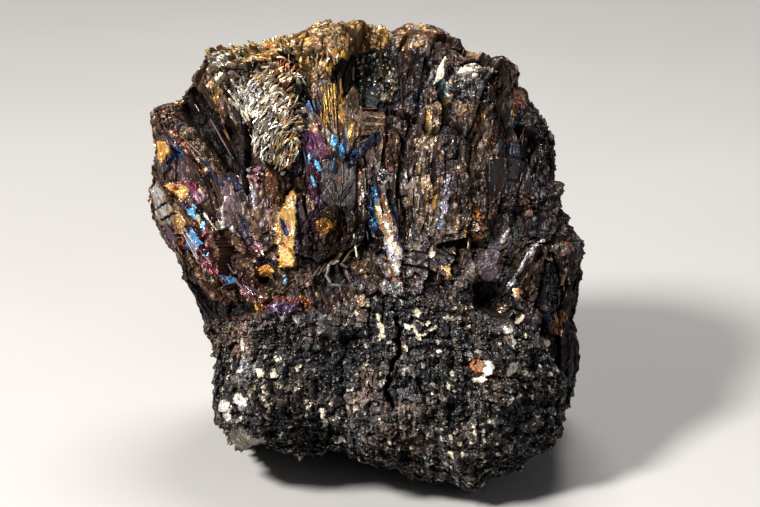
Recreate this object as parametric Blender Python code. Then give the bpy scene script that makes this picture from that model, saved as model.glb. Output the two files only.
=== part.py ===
"""Covellite hand specimen, one intergrown piece: a fan of crystal books on a block of granular sulphide matrix.

Metres, +Z up. The display face looks to -Y and leans back, so that it is square-on from 20 degrees above the horizon.
The piece stands on its broken underside at Z = 0, and the origin is the middle of its bounding box, at the base.
"""

import math

import bmesh
import bpy
import numpy as np
from mathutils import Vector

# ---- driving dimensions ------------------------------------------------------------------------------------
MM = 0.001
FIFTH = 0.2  # the outline and the books are laid out in fifths of a millimetre
MID_X, MID_Y = 370, 256  # the layout's middle, in fifths: x to the right, y down the display face
LEAN = math.radians(20)  # how far the display face leans back
BASE_DROP_MM = 43.4  # from the middle down to the plane the specimen stands on
FRONT_TOP_MM, FRONT_LOW_MM = 16.5, 25.0  # how far the display face bulges, at the fan and at the matrix
BACK_TOP_MM, BACK_LOW_MM = 31.0, 43.0  # how deep the specimen runs behind the middle, at the fan and at the matrix
MESH_LEVEL = 5  # icosphere subdivisions of the body, 5120 triangles
ROOT_XY, ROOT_DEPTH_MM = (392, 304), 9.0  # where the crystal books radiate from

# The display face's outline, clockwise from the left shoulder, in fifths of a millimetre.
OUTLINE = [
    (150, 119), (151, 114), (155, 108), (166, 103), (174, 102), (184, 96), (189, 89), (194, 80), (197, 73), (203, 61),
    (209, 54), (220, 50), (239, 49), (262, 48), (278, 41), (294, 36), (303, 31), (310, 26), (326, 23), (348, 21),
    (362, 22), (373, 26), (380, 24), (389, 30), (400, 28), (411, 25), (426, 26), (439, 29), (450, 35), (460, 42),
    (467, 52), (476, 54), (489, 61), (500, 58), (507, 61), (515, 68), (518, 76), (515, 84), (522, 88), (528, 96),
    (531, 106), (539, 115), (547, 129), (553, 146), (552, 155), (554, 171), (553, 180), (562, 183), (565, 191), (557, 198),
    (560, 208), (569, 218), (566, 225), (575, 236), (584, 246), (584, 253), (579, 263), (576, 278), (573, 299), (568, 318),
    (572, 330), (575, 343), (577, 356), (576, 368), (574, 381), (570, 395), (564, 408), (558, 419), (561, 425), (556, 433),
    (544, 444), (531, 454), (522, 464), (511, 471), (499, 475), (489, 477), (479, 486), (469, 489), (462, 484), (447, 480),
    (432, 479), (419, 477), (408, 475), (397, 468), (382, 464), (363, 459), (351, 453), (344, 447), (331, 448), (322, 455),
    (307, 453), (301, 457), (290, 451), (279, 448), (264, 442), (253, 445), (242, 451), (234, 443), (225, 429), (218, 419),
    (215, 404), (215, 391), (216, 373), (217, 357), (212, 341), (206, 325), (201, 310), (194, 293), (184, 280), (179, 267),
    (174, 254), (163, 240), (155, 224), (151, 211), (148, 195), (149, 185), (152, 179), (153, 164), (155, 148), (153, 132),
]  # fmt: skip

# The main books of plates on the display face: root, tip, width in fifths; depth of the front face at root and tip,
# thickness and roll about the long axis in mm and degrees.
FACE_BOOKS = [
    ((258, 310), (168, 206), 30, 18, 9, 7, -16),
    ((240, 268), (166, 142), 30, 14, 7, 7, -10),
    ((206, 172), (164, 116), 24, 8, 5, 8, 20),
    ((264, 242), (180, 116), 12, 17, 9, 6, 30),
    ((278, 228), (214, 78), 20, 17, 10, 8, 20),
    ((298, 234), (244, 62), 64, 16.5, 15, 12, -8),
    ((336, 222), (316, 38), 32, 19, 13, 10, 12),
    ((350, 226), (350, 34), 42, 20, 14, 10, 4),
    ((296, 274), (287, 192), 24, 22, 20, 7, -22),
    ((270, 302), (232, 196), 11, 19, 15, 6, 24),
    ((282, 302), (254, 190), 12, 20, 16, 6, -20),
    ((308, 300), (304, 180), 16, 19, 18, 6, 16),
    ((336, 292), (330, 168), 30, 19.5, 19, 7, 8),
    ((360, 292), (352, 166), 22, 21, 20, 7, -16),
    ((380, 284), (369, 160), 15, 22, 21.5, 7, 14),
    ((403, 290), (378, 158), 20, 24.5, 22, 9, -14),
    ((372, 134), (372, 106), 28, 19, 18, 7, 4),
    ((396, 160), (392, 34), 24, 18, 13, 9, -10),
    ((424, 290), (410, 60), 28, 22, 16, 10, 10),
    ((446, 294), (434, 38), 28, 22.5, 14, 10, -8),
    ((466, 292), (464, 70), 28, 22, 14, 10, 12),
    ((486, 288), (494, 72), 34, 20, 12, 10, -10),
    ((504, 294), (516, 106), 32, 18.5, 10, 10, 8),
    ((522, 300), (540, 150), 28, 16, 7, 9, -12),
    ((538, 318), (556, 204), 26, 14, 5, 8, 10),
    ((548, 350), (574, 252), 26, 13, 3, 9, -8),
]
# Books that stand behind the display face at its two lower sides.
SIDE_BOOKS = [
    ((560, 316), (567, 400), 15, -1, -3, 3.0, 4),
    ((562, 322), (573, 414), 19, -5, -7, 3.5, -5),
    ((560, 326), (575, 398), 22, -10, -12, 4.0, 6),
    ((556, 336), (568, 420), 18, -15.5, -17, 3.0, -8),
    ((552, 330), (566, 388), 20, -20, -23, 4.5, 5),
    ((210, 268), (228, 416), 14, -3, -5, 3.5, -5),
    ((204, 276), (221, 396), 18, -8, -10, 3.0, 6),
    ((206, 290), (222, 408), 16, -12.5, -14, 4.0, -7),
    ((204, 284), (218, 372), 18, -18, -21, 4.0, 5),
    ((194, 238), (238, 330), 22, 4, 2, 12, -20),
]
# Books that end on the fan's top, sides and back: how many, and their least and most turn from the display face's
# normal. They stand close together, so that their ends make up that side of the fan.
HIDDEN_BOOK_COUNT, HIDDEN_FROM_DEG, HIDDEN_TO_DEG = 58, 97, 168
HIDDEN_WIDE_MM, HIDDEN_THICK_MM, HIDDEN_PROUD_MM = 19.0, 7.5, 1.8

CRACK = [(396, 318), (398, 338), (401, 352), (389, 374), (385, 394), (393, 408)]  # an open crack in the matrix
CRACK_WIDE, CRACK_DEEP_MM = 4.0, 7.0  # fifths, mm
# Hollows in the display face: where, how far across in fifths, how deep in mm.
HOLLOWS = [
    ((192, 118), 20, 5.0), ((234, 138), 12, 3.5), ((378, 78), 34, 6.5), ((330, 250), 26, 3.0),
    ((486, 300), 15, 6.0), ((270, 282), 9, 3.0), ((232, 300), 22, 3.0), ((350, 345), 24, 2.0),
]  # fmt: skip
SWELLS = [((262, 110), 52, 3.5), ((440, 400), 70, 2.5), ((260, 370), 40, 2.5), ((488, 72), 24, 3.0), ((344, 60), 30, 2.0)]

# ---- the display face's frame ------------------------------------------------------------------------------
RIGHT = np.array([1.0, 0.0, 0.0])
UP = np.array([0.0, math.sin(LEAN), math.cos(LEAN)])
OUT = np.array([0.0, -math.cos(LEAN), math.sin(LEAN)])


def laid_out(x, y, depth=0.0):
    """A point of the layout, as (right, up, out) in mm from the middle."""
    return np.array([(x - MID_X) * FIFTH, (MID_Y - y) * FIFTH, depth])


def to_world(p):
    """(right, up, out) in mm to metres in the upright frame, with the standing plane at Z = 0."""
    p = np.atleast_2d(p)
    world = p[:, :1] * RIGHT + p[:, 1:2] * UP + p[:, 2:3] * OUT
    world[:, 2] += BASE_DROP_MM
    return world * MM


# ---- the body's radius in every direction ------------------------------------------------------------------
_rim = np.array([laid_out(x, y)[:2] for x, y in OUTLINE])
_turn = np.arctan2(_rim[:, 1], _rim[:, 0])
_order = np.argsort(_turn)
RIM_TURN, RIM_RADIUS = _turn[_order], np.hypot(_rim[:, 0], _rim[:, 1])[_order]
HIDDEN_COS_FROM, HIDDEN_COS_TO = (math.cos(math.radians(d)) for d in (HIDDEN_FROM_DEG, HIDDEN_TO_DEG))


def smooth_step(a, b, v):
    t = np.clip((v - a) / (b - a), 0.0, 1.0)
    return t * t * (3 - 2 * t)


def body_radius(n):
    """Distance in mm from the middle to the surface along unit directions n, in (right, up, out)."""
    turn = np.arctan2(n[:, 1], n[:, 0])
    rim = np.interp(turn, RIM_TURN, RIM_RADIUS, period=2 * math.pi)
    low = 1 - smooth_step(-0.35, 0.25, n[:, 1])
    front = FRONT_TOP_MM + (FRONT_LOW_MM - FRONT_TOP_MM) * low
    back = BACK_TOP_MM + (BACK_LOW_MM - BACK_TOP_MM) * low
    deep = np.where(n[:, 2] > 0, front, back)
    power = np.where(n[:, 2] > 0, 2.9, 2.5 + 2.5 * low)
    flat = np.hypot(n[:, 0], n[:, 1])
    return ((flat / rim) ** power + (np.abs(n[:, 2]) / deep) ** power) ** (-1 / power)


def face_relief(p):
    """How far the display face stands in or out at points p, in mm, from its hollows and swells."""
    relief = np.zeros(len(p))
    for sign, features in ((-1, HOLLOWS), (1, SWELLS)):
        for (x, y), across, height in features:
            middle = laid_out(x, y)
            away = np.hypot(p[:, 0] - middle[0], p[:, 1] - middle[1]) / (across * FIFTH)
            relief += sign * height * np.exp(-(away**2))
    return relief * smooth_step(0.0, 8.0, p[:, 2])


def rough(p):
    """The broken lumps of the surface, in mm, by a fixed rule."""
    x, y, z = p[:, 0], p[:, 1], p[:, 2]
    lumps = np.sin(0.31 * x + 1.7 * np.sin(0.23 * z)) * np.sin(0.37 * y + 0.9) * np.sin(0.29 * z + 1.3 * np.sin(0.21 * x))
    fine = np.sin(0.83 * x + 2.1 * np.sin(0.41 * y)) * np.sin(0.91 * z + 1.1) * np.sin(0.77 * y + 1.9 * np.sin(0.53 * z))
    return 1.1 * lumps + 0.7 * fine


def add_body():
    """The fan's core and the matrix, as one closed lump."""
    bm = bmesh.new()
    bmesh.ops.create_icosphere(bm, subdivisions=MESH_LEVEL, radius=1.0)
    n = np.array([v.co for v in bm.verts])
    n /= np.linalg.norm(n, axis=1)[:, None]
    p = n * body_radius(n)[:, None]
    rim_keep = smooth_step(0.15, 0.5, np.abs(n[:, 2]))  # the outline itself stays as laid out
    p[:, 2] += face_relief(p)
    p += n * (rough(p) * (0.25 + 0.75 * rim_keep))[:, None]
    inside = 1.0 - 0.9 / np.linalg.norm(p, axis=1)[:, None]
    for v, w in zip(bm.verts, to_world(p * inside)):
        v.co = Vector(w)
    mesh = bpy.data.meshes.new("specimen")
    bm.to_mesh(mesh)
    bm.free()
    obj = bpy.data.objects.new("specimen", mesh)
    bpy.context.scene.collection.objects.link(obj)
    return obj


# ---- books of plates ---------------------------------------------------------------------------------------
def closed_slab(name, rings):
    """A closed slab through three rings of four corners, kept as a guide for the union."""
    mesh = bpy.data.meshes.new(name)
    faces = [(3, 2, 1, 0), (8, 9, 10, 11)]
    for r in (0, 4):
        faces += [(r + i, r + (i + 1) % 4, r + 4 + (i + 1) % 4, r + 4 + i) for i in range(4)]
    mesh.from_pydata([Vector(w) for w in to_world(np.array(rings))], [], faces)
    bm = bmesh.new()
    bm.from_mesh(mesh)
    bmesh.ops.triangulate(bm, faces=bm.faces)
    bmesh.ops.recalc_face_normals(bm, faces=bm.faces)
    bm.to_mesh(mesh)
    bm.free()
    book = bpy.data.objects.new(name, mesh)
    bpy.context.scene.collection.objects.link(book)
    book.hide_render = True
    book.display_type = "WIRE"
    return book


def add_book(name, root, tip, wide, out_root, out_tip, thick, roll):
    """One book: a slab in three rings, narrow at its root, with a skew broken tip. All in layout mm."""
    a, b = laid_out(*root, out_root), laid_out(*tip, out_tip)
    along = (b - a) / np.linalg.norm(b - a)
    side = np.cross(along, [0, 0, 1.0])
    side /= np.linalg.norm(side)
    out = np.cross(side, along)
    c, s = math.cos(math.radians(roll)), math.sin(math.radians(roll))
    side, out = side * c + out * s, out * c - side * s
    half, length = wide * FIFTH / 2, np.linalg.norm(b - a)
    skew = min(2.0, 0.05 * length) * math.sin(root[0] * 0.7 + tip[1])
    rings = []
    for share, width in ((0.0, 0.62), (0.55, 0.95), (1.0, 0.86)):
        mid = a + (b - a) * share
        for j, (u, v) in enumerate(((-1, 0), (1, 0), (1, -1), (-1, -1))):
            end = along * skew * u * (share == 1.0)
            rings.append(mid + side * half * width * u + out * thick * v + end)
    return closed_slab(name, rings)


def add_hidden_book(name, i):
    """A book that runs from the root to the top, a side or the back, and ends flat a little proud of the body."""
    turn = math.radians(-14 + 208 * ((i * 0.618034) % 1.0))
    lean = math.acos(HIDDEN_COS_FROM + (HIDDEN_COS_TO - HIDDEN_COS_FROM) * (i + 0.5) / HIDDEN_BOOK_COUNT)
    n = np.array([math.sin(lean) * math.cos(turn), math.sin(lean) * math.sin(turn), math.cos(lean)])
    end = n * (body_radius(n[None, :])[0] + HIDDEN_PROUD_MM * math.sin(1.7 * i))
    root = laid_out(*ROOT_XY, ROOT_DEPTH_MM)
    along = (end - root) / np.linalg.norm(end - root)
    side = np.cross(along, [0.5 * math.sin(2.1 * i), 0.35 * math.cos(3.3 * i), 1.0])
    side /= np.linalg.norm(side)
    out = np.cross(side, along)
    wide = HIDDEN_WIDE_MM * (0.75 + 0.25 * math.sin(1.3 * i)) / 2
    thick = HIDDEN_THICK_MM * (0.8 + 0.2 * math.cos(2.9 * i)) / 2
    # The end is cut along the body there, or close to it.
    face = n + 0.25 * np.array([math.sin(5.1 * i), math.sin(6.7 * i), math.sin(4.3 * i)])
    rings = []
    for share, size in ((0.35, 0.5), (0.8, 0.95), (1.0, 0.95)):
        mid = root + (end - root) * share
        for u, v in ((-1, 1), (1, 1), (1, -1), (-1, -1)):
            across = side * wide * size * u + out * thick * size * v
            slope = -np.dot(across, face) / np.dot(along, face) if share == 1.0 else 0.0
            rings.append(mid + across + along * min(max(slope, -4.0), 2.5))
    return closed_slab(name, rings)


def add_crack():
    """A jagged wedge that opens the crack: a strip that follows CRACK, deepest along its middle line."""
    bm = bmesh.new()
    rows = []
    for i, (x, y) in enumerate(CRACK):
        wide = CRACK_WIDE * (0.35 if i in (0, len(CRACK) - 1) else 1.0) / 2
        ring = [laid_out(x - wide, y, 34.0), laid_out(x + wide, y, 34.0), laid_out(x, y, 24.0 - CRACK_DEEP_MM)]
        rows.append([bm.verts.new(Vector(to_world(q)[0])) for q in ring])
    for a, b in zip(rows, rows[1:]):
        for i in range(3):
            bm.faces.new((a[i], a[(i + 1) % 3], b[(i + 1) % 3], b[i]))
    bm.faces.new(rows[0])
    bm.faces.new(rows[-1][::-1])
    bmesh.ops.triangulate(bm, faces=bm.faces)
    bmesh.ops.recalc_face_normals(bm, faces=bm.faces)
    mesh = bpy.data.meshes.new("crack_cutter")
    bm.to_mesh(mesh)
    bm.free()
    cutter = bpy.data.objects.new("crack_cutter", mesh)
    bpy.context.scene.collection.objects.link(cutter)
    return cutter


def add_underside():
    """A block below Z = 0, which breaks the specimen off flat where it stands."""
    bm = bmesh.new()
    bmesh.ops.create_cube(bm, size=1.0)
    bmesh.ops.scale(bm, vec=(0.3, 0.3, 0.06), verts=bm.verts)
    bmesh.ops.translate(bm, vec=(0, 0, -0.03), verts=bm.verts)
    mesh = bpy.data.meshes.new("underside_cutter")
    bm.to_mesh(mesh)
    bm.free()
    cutter = bpy.data.objects.new("underside_cutter", mesh)
    bpy.context.scene.collection.objects.link(cutter)
    return cutter


def join(body, other, operation):
    other.hide_render = True
    other.display_type = "WIRE"
    m = body.modifiers.new(other.name, "BOOLEAN")
    m.operation, m.object, m.solver = operation, other, "EXACT"


def material():
    mat = bpy.data.materials.new("tarnished_covellite")
    mat.use_nodes = True
    shader = mat.node_tree.nodes["Principled BSDF"]
    shader.inputs["Base Color"].default_value = (0.055, 0.042, 0.032, 1)
    shader.inputs["Metallic"].default_value = 0.7
    shader.inputs["Roughness"].default_value = 0.42
    return mat


def main():
    for obj in list(bpy.data.objects):
        bpy.data.objects.remove(obj, do_unlink=True)
    body = add_body()
    for i, layout in enumerate(FACE_BOOKS + SIDE_BOOKS):
        join(body, add_book(f"face_book_{i:02d}", *layout), "UNION")
    for i in range(HIDDEN_BOOK_COUNT):
        join(body, add_hidden_book(f"hidden_book_{i:02d}", i), "UNION")
    join(body, add_crack(), "DIFFERENCE")
    join(body, add_underside(), "DIFFERENCE")

    # The joined solid, moved so that the origin is the middle of its box at the base.
    bpy.context.view_layer.update()
    graph = bpy.context.evaluated_depsgraph_get()
    solid = bpy.data.meshes.new_from_object(body.evaluated_get(graph), depsgraph=graph)
    for obj in list(bpy.data.objects):
        bpy.data.objects.remove(obj, do_unlink=True)
    co = np.array([v.co for v in solid.vertices])
    middle = (co.min(0) + co.max(0)) / 2
    shift = Vector((-middle[0], -middle[1], -co[:, 2].min()))
    for v in solid.vertices:
        v.co += shift
    print("shift of the middle, mm:", [round(x / MM, 3) for x in shift], "box", np.round((co.max(0) - co.min(0)) / MM, 2), "faces", len(solid.polygons))
    solid.name = "specimen"
    solid.materials.clear()
    solid.materials.append(material())
    piece = bpy.data.objects.new("specimen", solid)
    bpy.context.scene.collection.objects.link(piece)


main()
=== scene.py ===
"""Looks for the covellite specimen: a fan of platy crystals on a granular matrix, in thousands of modelled plates.

Layout coordinates: (right, up, out) in mm from the middle, along the display face, which leans back by LEAN.
Places on the display face are given in frame pixels of a 760 x 507 picture, 0.2 mm each at the middle's distance.
"""

import math

import bpy
import numpy as np
from mathutils import Matrix, Vector


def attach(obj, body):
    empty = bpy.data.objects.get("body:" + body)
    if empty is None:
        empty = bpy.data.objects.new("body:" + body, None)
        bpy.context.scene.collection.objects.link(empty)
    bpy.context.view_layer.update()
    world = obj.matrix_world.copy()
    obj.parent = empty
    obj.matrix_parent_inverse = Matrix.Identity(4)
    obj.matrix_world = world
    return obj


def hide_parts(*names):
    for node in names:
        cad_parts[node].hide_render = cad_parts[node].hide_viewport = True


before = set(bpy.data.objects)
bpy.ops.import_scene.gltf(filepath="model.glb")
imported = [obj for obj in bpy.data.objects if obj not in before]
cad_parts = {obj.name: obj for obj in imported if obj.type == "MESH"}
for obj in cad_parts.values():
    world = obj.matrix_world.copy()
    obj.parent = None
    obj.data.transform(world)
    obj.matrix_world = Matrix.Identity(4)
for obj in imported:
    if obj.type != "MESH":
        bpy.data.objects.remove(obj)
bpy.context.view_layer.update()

# ---- the frame the shapes are laid out in ------------------------------------------------------------------
LEAN = math.radians(20)
MIDDLE = np.array([0.149, -2.983, 43.4])  # the layout's middle in the part's frame, mm
RIGHT = np.array([1.0, 0.0, 0.0])
UP = np.array([0.0, math.sin(LEAN), math.cos(LEAN)])
OUT = np.array([0.0, -math.cos(LEAN), math.sin(LEAN)])
AXES = np.stack([RIGHT, UP, OUT])
PIXEL = 0.2
MID_X, MID_Y = 370.0, 256.0
AIM_X, AIM_Y = 380.0, 253.5  # the frame's centre
EYE = 506.7  # mm from the eye to the middle plane
ROOT_X, ROOT_Y = 392.0, 304.0  # where the crystals radiate from
rng = np.random.default_rng(20)

OUTLINE = [
    (151, 114), (155, 108), (166, 103), (174, 102), (184, 96), (189, 89), (194, 80), (197, 73), (203, 61), (209, 54),
    (220, 50), (239, 49), (262, 48), (278, 41), (294, 36), (303, 31), (310, 26), (326, 23), (348, 21), (362, 22),
    (373, 26), (380, 24), (389, 30), (400, 28), (411, 25), (426, 26), (439, 29), (450, 35), (460, 42), (467, 52),
    (476, 54), (489, 61), (500, 58), (507, 61), (515, 68), (518, 76), (515, 84), (522, 88), (528, 96), (531, 106),
    (539, 115), (547, 129), (553, 146), (552, 155), (554, 171), (553, 180), (562, 183), (565, 191), (557, 198), (560, 208),
    (569, 218), (566, 225), (575, 236), (584, 246), (584, 253), (579, 263), (576, 278), (573, 299), (568, 318), (572, 330),
    (575, 343), (577, 356), (576, 368), (574, 381), (570, 395), (564, 408), (558, 419), (561, 425), (556, 433), (544, 444),
    (531, 454), (522, 464), (511, 471), (499, 475), (489, 477), (479, 486), (469, 489), (462, 484), (447, 480), (432, 479),
    (419, 477), (408, 475), (397, 468), (382, 464), (363, 459), (351, 453), (344, 447), (331, 448), (322, 455), (307, 453),
    (301, 457), (290, 451), (279, 448), (264, 442), (253, 445), (242, 451), (234, 443), (225, 429), (218, 419), (215, 404),
    (215, 391), (216, 373), (217, 357), (212, 341), (206, 325), (201, 310), (194, 293), (184, 280), (179, 267), (174, 254),
    (163, 240), (155, 224), (151, 211), (148, 195), (149, 185), (152, 179), (153, 164), (155, 148), (153, 132), (150, 119),
]  # fmt: skip
HOLLOWS = [
    ((192, 118), 20, 5.0), ((234, 138), 12, 3.5), ((378, 78), 34, 6.5), ((330, 250), 26, 3.0),
    ((486, 300), 15, 6.0), ((270, 282), 9, 3.0), ((232, 300), 22, 3.0), ((350, 345), 24, 2.0),
    ((457, 412), 16, 2.0), ((310, 436), 20, 2.0), ((404, 462), 9, 2.0), ((545, 330), 10, 2.0),
]  # fmt: skip
SWELLS = [
    ((262, 110), 52, 3.5), ((440, 400), 70, 2.5), ((260, 370), 40, 2.5), ((488, 72), 24, 3.0), ((344, 60), 30, 2.0),
    ((300, 395), 22, 1.2), ((500, 350), 20, 1.5), ((380, 430), 24, 1.2),
]  # fmt: skip
CRACK = [(396, 317), (400, 328), (396, 340), (400, 352), (393, 362), (389, 374), (391, 383), (385, 392), (390, 401), (394, 408)]


def smooth(a, b, v):
    t = np.clip((v - a) / (b - a), 0.0, 1.0)
    return t * t * (3 - 2 * t)


_rim = np.array([((x - MID_X) * PIXEL, (MID_Y - y) * PIXEL) for x, y in OUTLINE])
_turn = np.arctan2(_rim[:, 1], _rim[:, 0])
_order = np.argsort(_turn)
RIM_TURN, RIM_RADIUS = _turn[_order], np.hypot(_rim[:, 0], _rim[:, 1])[_order]


def rim_at(turn):
    return np.interp(turn, RIM_TURN, RIM_RADIUS, period=2 * math.pi)


def deep_front(n_up):
    low = 1 - smooth(-0.35, 0.25, n_up)
    return 16.5 + 8.5 * low


def body_radius(n):
    """Distance in mm from the middle to the surface along unit directions n: the CAD body's own rule."""
    turn = np.arctan2(n[:, 1], n[:, 0])
    low = 1 - smooth(-0.35, 0.25, n[:, 1])
    deep = np.where(n[:, 2] > 0, 16.5 + 8.5 * low, 31.0 + 12.0 * low)
    power = np.where(n[:, 2] > 0, 2.9, 2.5 + 2.5 * low)
    flat = np.hypot(n[:, 0], n[:, 1])
    return ((flat / rim_at(turn)) ** power + (np.abs(n[:, 2]) / deep) ** power) ** (-1 / power)


def relief_at(a, b):
    relief = np.zeros(np.shape(a))
    for sign, features in ((-1, HOLLOWS), (1, SWELLS)):
        for (x, y), across, height in features:
            away = np.hypot(a - (x - MID_X) * PIXEL, b - (MID_Y - y) * PIXEL) / (across * PIXEL)
            relief = relief + sign * height * np.exp(-(away**2))
    return relief


def face_depth(a, b):
    """How far out the display face stands at (a, b), in mm."""
    a, b = np.asarray(a, float), np.asarray(b, float)
    flat = np.hypot(a, b)
    q = np.clip(1 - (flat / rim_at(np.arctan2(b, a))) ** 2.9, 0, 1) ** (1 / 2.9)
    c = 15.0 * q
    for _ in range(5):
        c = deep_front(b / np.sqrt(flat**2 + c**2 + 1e-6)) * q
    return c + relief_at(a, b) * smooth(0.0, 8.0, c)


def place(x, y, depth):
    """The point seen at pixel (x, y), at a depth in front of the middle plane."""
    near = 1 - depth / EYE
    a = (AIM_X - MID_X) * PIXEL + (x - AIM_X) * PIXEL * near
    b = (MID_Y - AIM_Y) * PIXEL + (AIM_Y - y) * PIXEL * near
    return np.stack(np.broadcast_arrays(a, b, depth), -1)


def on_face(x, y, lift=0.0):
    """The point seen at pixel (x, y) on the display face, lifted by some mm."""
    x, y = np.asarray(x, float), np.asarray(y, float)
    depth = np.full(np.broadcast(x, y).shape, 12.0)
    for _ in range(4):
        p = place(x, y, depth)
        depth = face_depth(p[..., 0], p[..., 1]) + lift
    return place(x, y, depth)


def pixel_of(p):
    """Where a layout point is seen, in pixels."""
    near = 1 - p[..., 2] / EYE
    x = AIM_X + (p[..., 0] - (AIM_X - MID_X) * PIXEL) / (PIXEL * near)
    y = AIM_Y - (p[..., 1] - (MID_Y - AIM_Y) * PIXEL) / (PIXEL * near)
    return x, y


def to_world(p):
    """Layout mm to metres in the part's frame, never below the base."""
    w = p @ AXES + MIDDLE
    w[..., 2] = np.maximum(w[..., 2], 0.0)
    return w * 0.001


def unit(v):
    return v / np.maximum(np.linalg.norm(v, axis=-1, keepdims=True), 1e-9)


# ---- noise by rule -----------------------------------------------------------------------------------------
def hash3(i, j, k, seed=0):
    """Repeatable values from 0 to 1 for whole-number lattice points."""
    h = (i.astype(np.int64) * 374761393 + j.astype(np.int64) * 668265263 + k.astype(np.int64) * 2147483647 + seed * 974634777) & 0xFFFFFFFF
    h = ((h ^ (h >> 13)) * 1274126177) & 0xFFFFFFFF
    h = ((h ^ (h >> 16)) * 2246822519) & 0xFFFFFFFF
    return ((h ^ (h >> 15)) & 0xFFFFFF) / float(0x1000000)


def value_noise(p, size, seed=0):
    """Smooth noise from -1 to 1 with features about size mm across."""
    q = p / size
    base = np.floor(q)
    f = q - base
    f = f * f * (3 - 2 * f)
    total = np.zeros(q.shape[:-1])
    for dx in (0, 1):
        for dy in (0, 1):
            for dz in (0, 1):
                v = hash3(base[..., 0] + dx, base[..., 1] + dy, base[..., 2] + dz, seed)
                w = (f[..., 0] if dx else 1 - f[..., 0]) * (f[..., 1] if dy else 1 - f[..., 1]) * (f[..., 2] if dz else 1 - f[..., 2])
                total += v * w
    return total * 2 - 1


def grains(p, size, seed=0):
    """Jittered-grid cells: the nearest cell's centre offset, its distance, the next cell's distance, and random values."""
    q = p / size
    base = np.floor(q)
    best = np.full(q.shape[:-1], 9.0)
    second = np.full(q.shape[:-1], 9.0)
    offset = np.zeros_like(q)
    tags = np.zeros(q.shape[:-1] + (4,))
    for dx in (-1, 0, 1):
        for dy in (-1, 0, 1):
            for dz in (-1, 0, 1):
                i, j, k = base[..., 0] + dx, base[..., 1] + dy, base[..., 2] + dz
                jit = np.stack([hash3(i, j, k, seed + 1), hash3(i, j, k, seed + 2), hash3(i, j, k, seed + 3)], -1)
                d = np.stack([i, j, k], -1) + 0.1 + 0.8 * jit - q
                dist = np.linalg.norm(d, axis=-1)
                closer = dist < best
                second = np.where(closer, best, np.minimum(second, dist))
                best = np.where(closer, dist, best)
                offset = np.where(closer[..., None], d, offset)
                tag = np.stack([jit[..., 0], jit[..., 1], jit[..., 2], hash3(i, j, k, seed + 4)], -1)
                tags = np.where(closer[..., None], tag, tags)
    return offset * size, best * size, second * size, tags


# ---- colours -----------------------------------------------------------------------------------------------
def srgb(r, g, b):
    c = np.array([r, g, b], float)
    return np.where(c <= 0.04045, c / 12.92, ((c + 0.055) / 1.055) ** 2.4)


TINTS = {
    "black": srgb(0.07, 0.06, 0.06), "umber": srgb(0.25, 0.18, 0.14), "bronze": srgb(0.40, 0.30, 0.22),
    "brown": srgb(0.32, 0.23, 0.18), "slate": srgb(0.24, 0.24, 0.26), "grey": srgb(0.42, 0.40, 0.40),
    "ash": srgb(0.58, 0.56, 0.54), "tan": srgb(0.66, 0.53, 0.40), "cream": srgb(0.92, 0.87, 0.76),
    "white": srgb(0.98, 0.97, 0.94), "gold": srgb(0.86, 0.66, 0.32), "yellow": srgb(0.93, 0.78, 0.38),
    "orange": srgb(0.86, 0.50, 0.22), "rust": srgb(0.55, 0.30, 0.17), "salmon": srgb(0.76, 0.52, 0.44),
    "mauve": srgb(0.46, 0.38, 0.40), "purple": srgb(0.34, 0.25, 0.38), "magenta": srgb(0.64, 0.27, 0.42),
    "pink": srgb(0.84, 0.64, 0.66), "lilac": srgb(0.74, 0.69, 0.80), "indigo": srgb(0.15, 0.16, 0.27),
    "navy": srgb(0.09, 0.13, 0.22), "blue": srgb(0.18, 0.35, 0.58), "sky": srgb(0.38, 0.66, 0.88),
    "cyan": srgb(0.60, 0.86, 0.94), "teal": srgb(0.16, 0.26, 0.28), "silver": srgb(0.78, 0.78, 0.80),
    "mint": srgb(0.76, 0.90, 0.84), "olive": srgb(0.36, 0.35, 0.24),
}  # fmt: skip


# ---- meshes from arrays ------------------------------------------------------------------------------------
class Batch:
    """Collects closed plates and grains, then makes one mesh of them."""

    def __init__(self):
        self.verts, self.quads, self.tris = [], [], []
        self.quad_tint, self.quad_film, self.tri_tint, self.tri_film, self.local = [], [], [], [], []
        self.count = 0

    def add(self, verts, faces, tint, film, local):
        """verts (v, 3) in layout mm, faces (f, 3 or 4), tint (f, 3), film (f, 3): phase, share, roughness; local (v, 3)."""
        if faces.shape[1] == 4:
            self.quads.append(faces + self.count)
            self.quad_tint.append(tint)
            self.quad_film.append(film)
        else:
            self.tris.append(faces + self.count)
            self.tri_tint.append(tint)
            self.tri_film.append(film)
        self.verts.append(verts)
        self.local.append(local)
        self.count += len(verts)

    def build(self, name, material):
        verts = np.concatenate(self.verts)
        quads = np.concatenate(self.quads) if self.quads else np.zeros((0, 4), int)
        tris = np.concatenate(self.tris) if self.tris else np.zeros((0, 3), int)
        tint = np.concatenate(self.quad_tint + self.tri_tint)
        film = np.concatenate(self.quad_film + self.tri_film)
        return mesh_object(name, to_world(verts), quads, tris, tint, film, np.concatenate(self.local), material)


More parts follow.
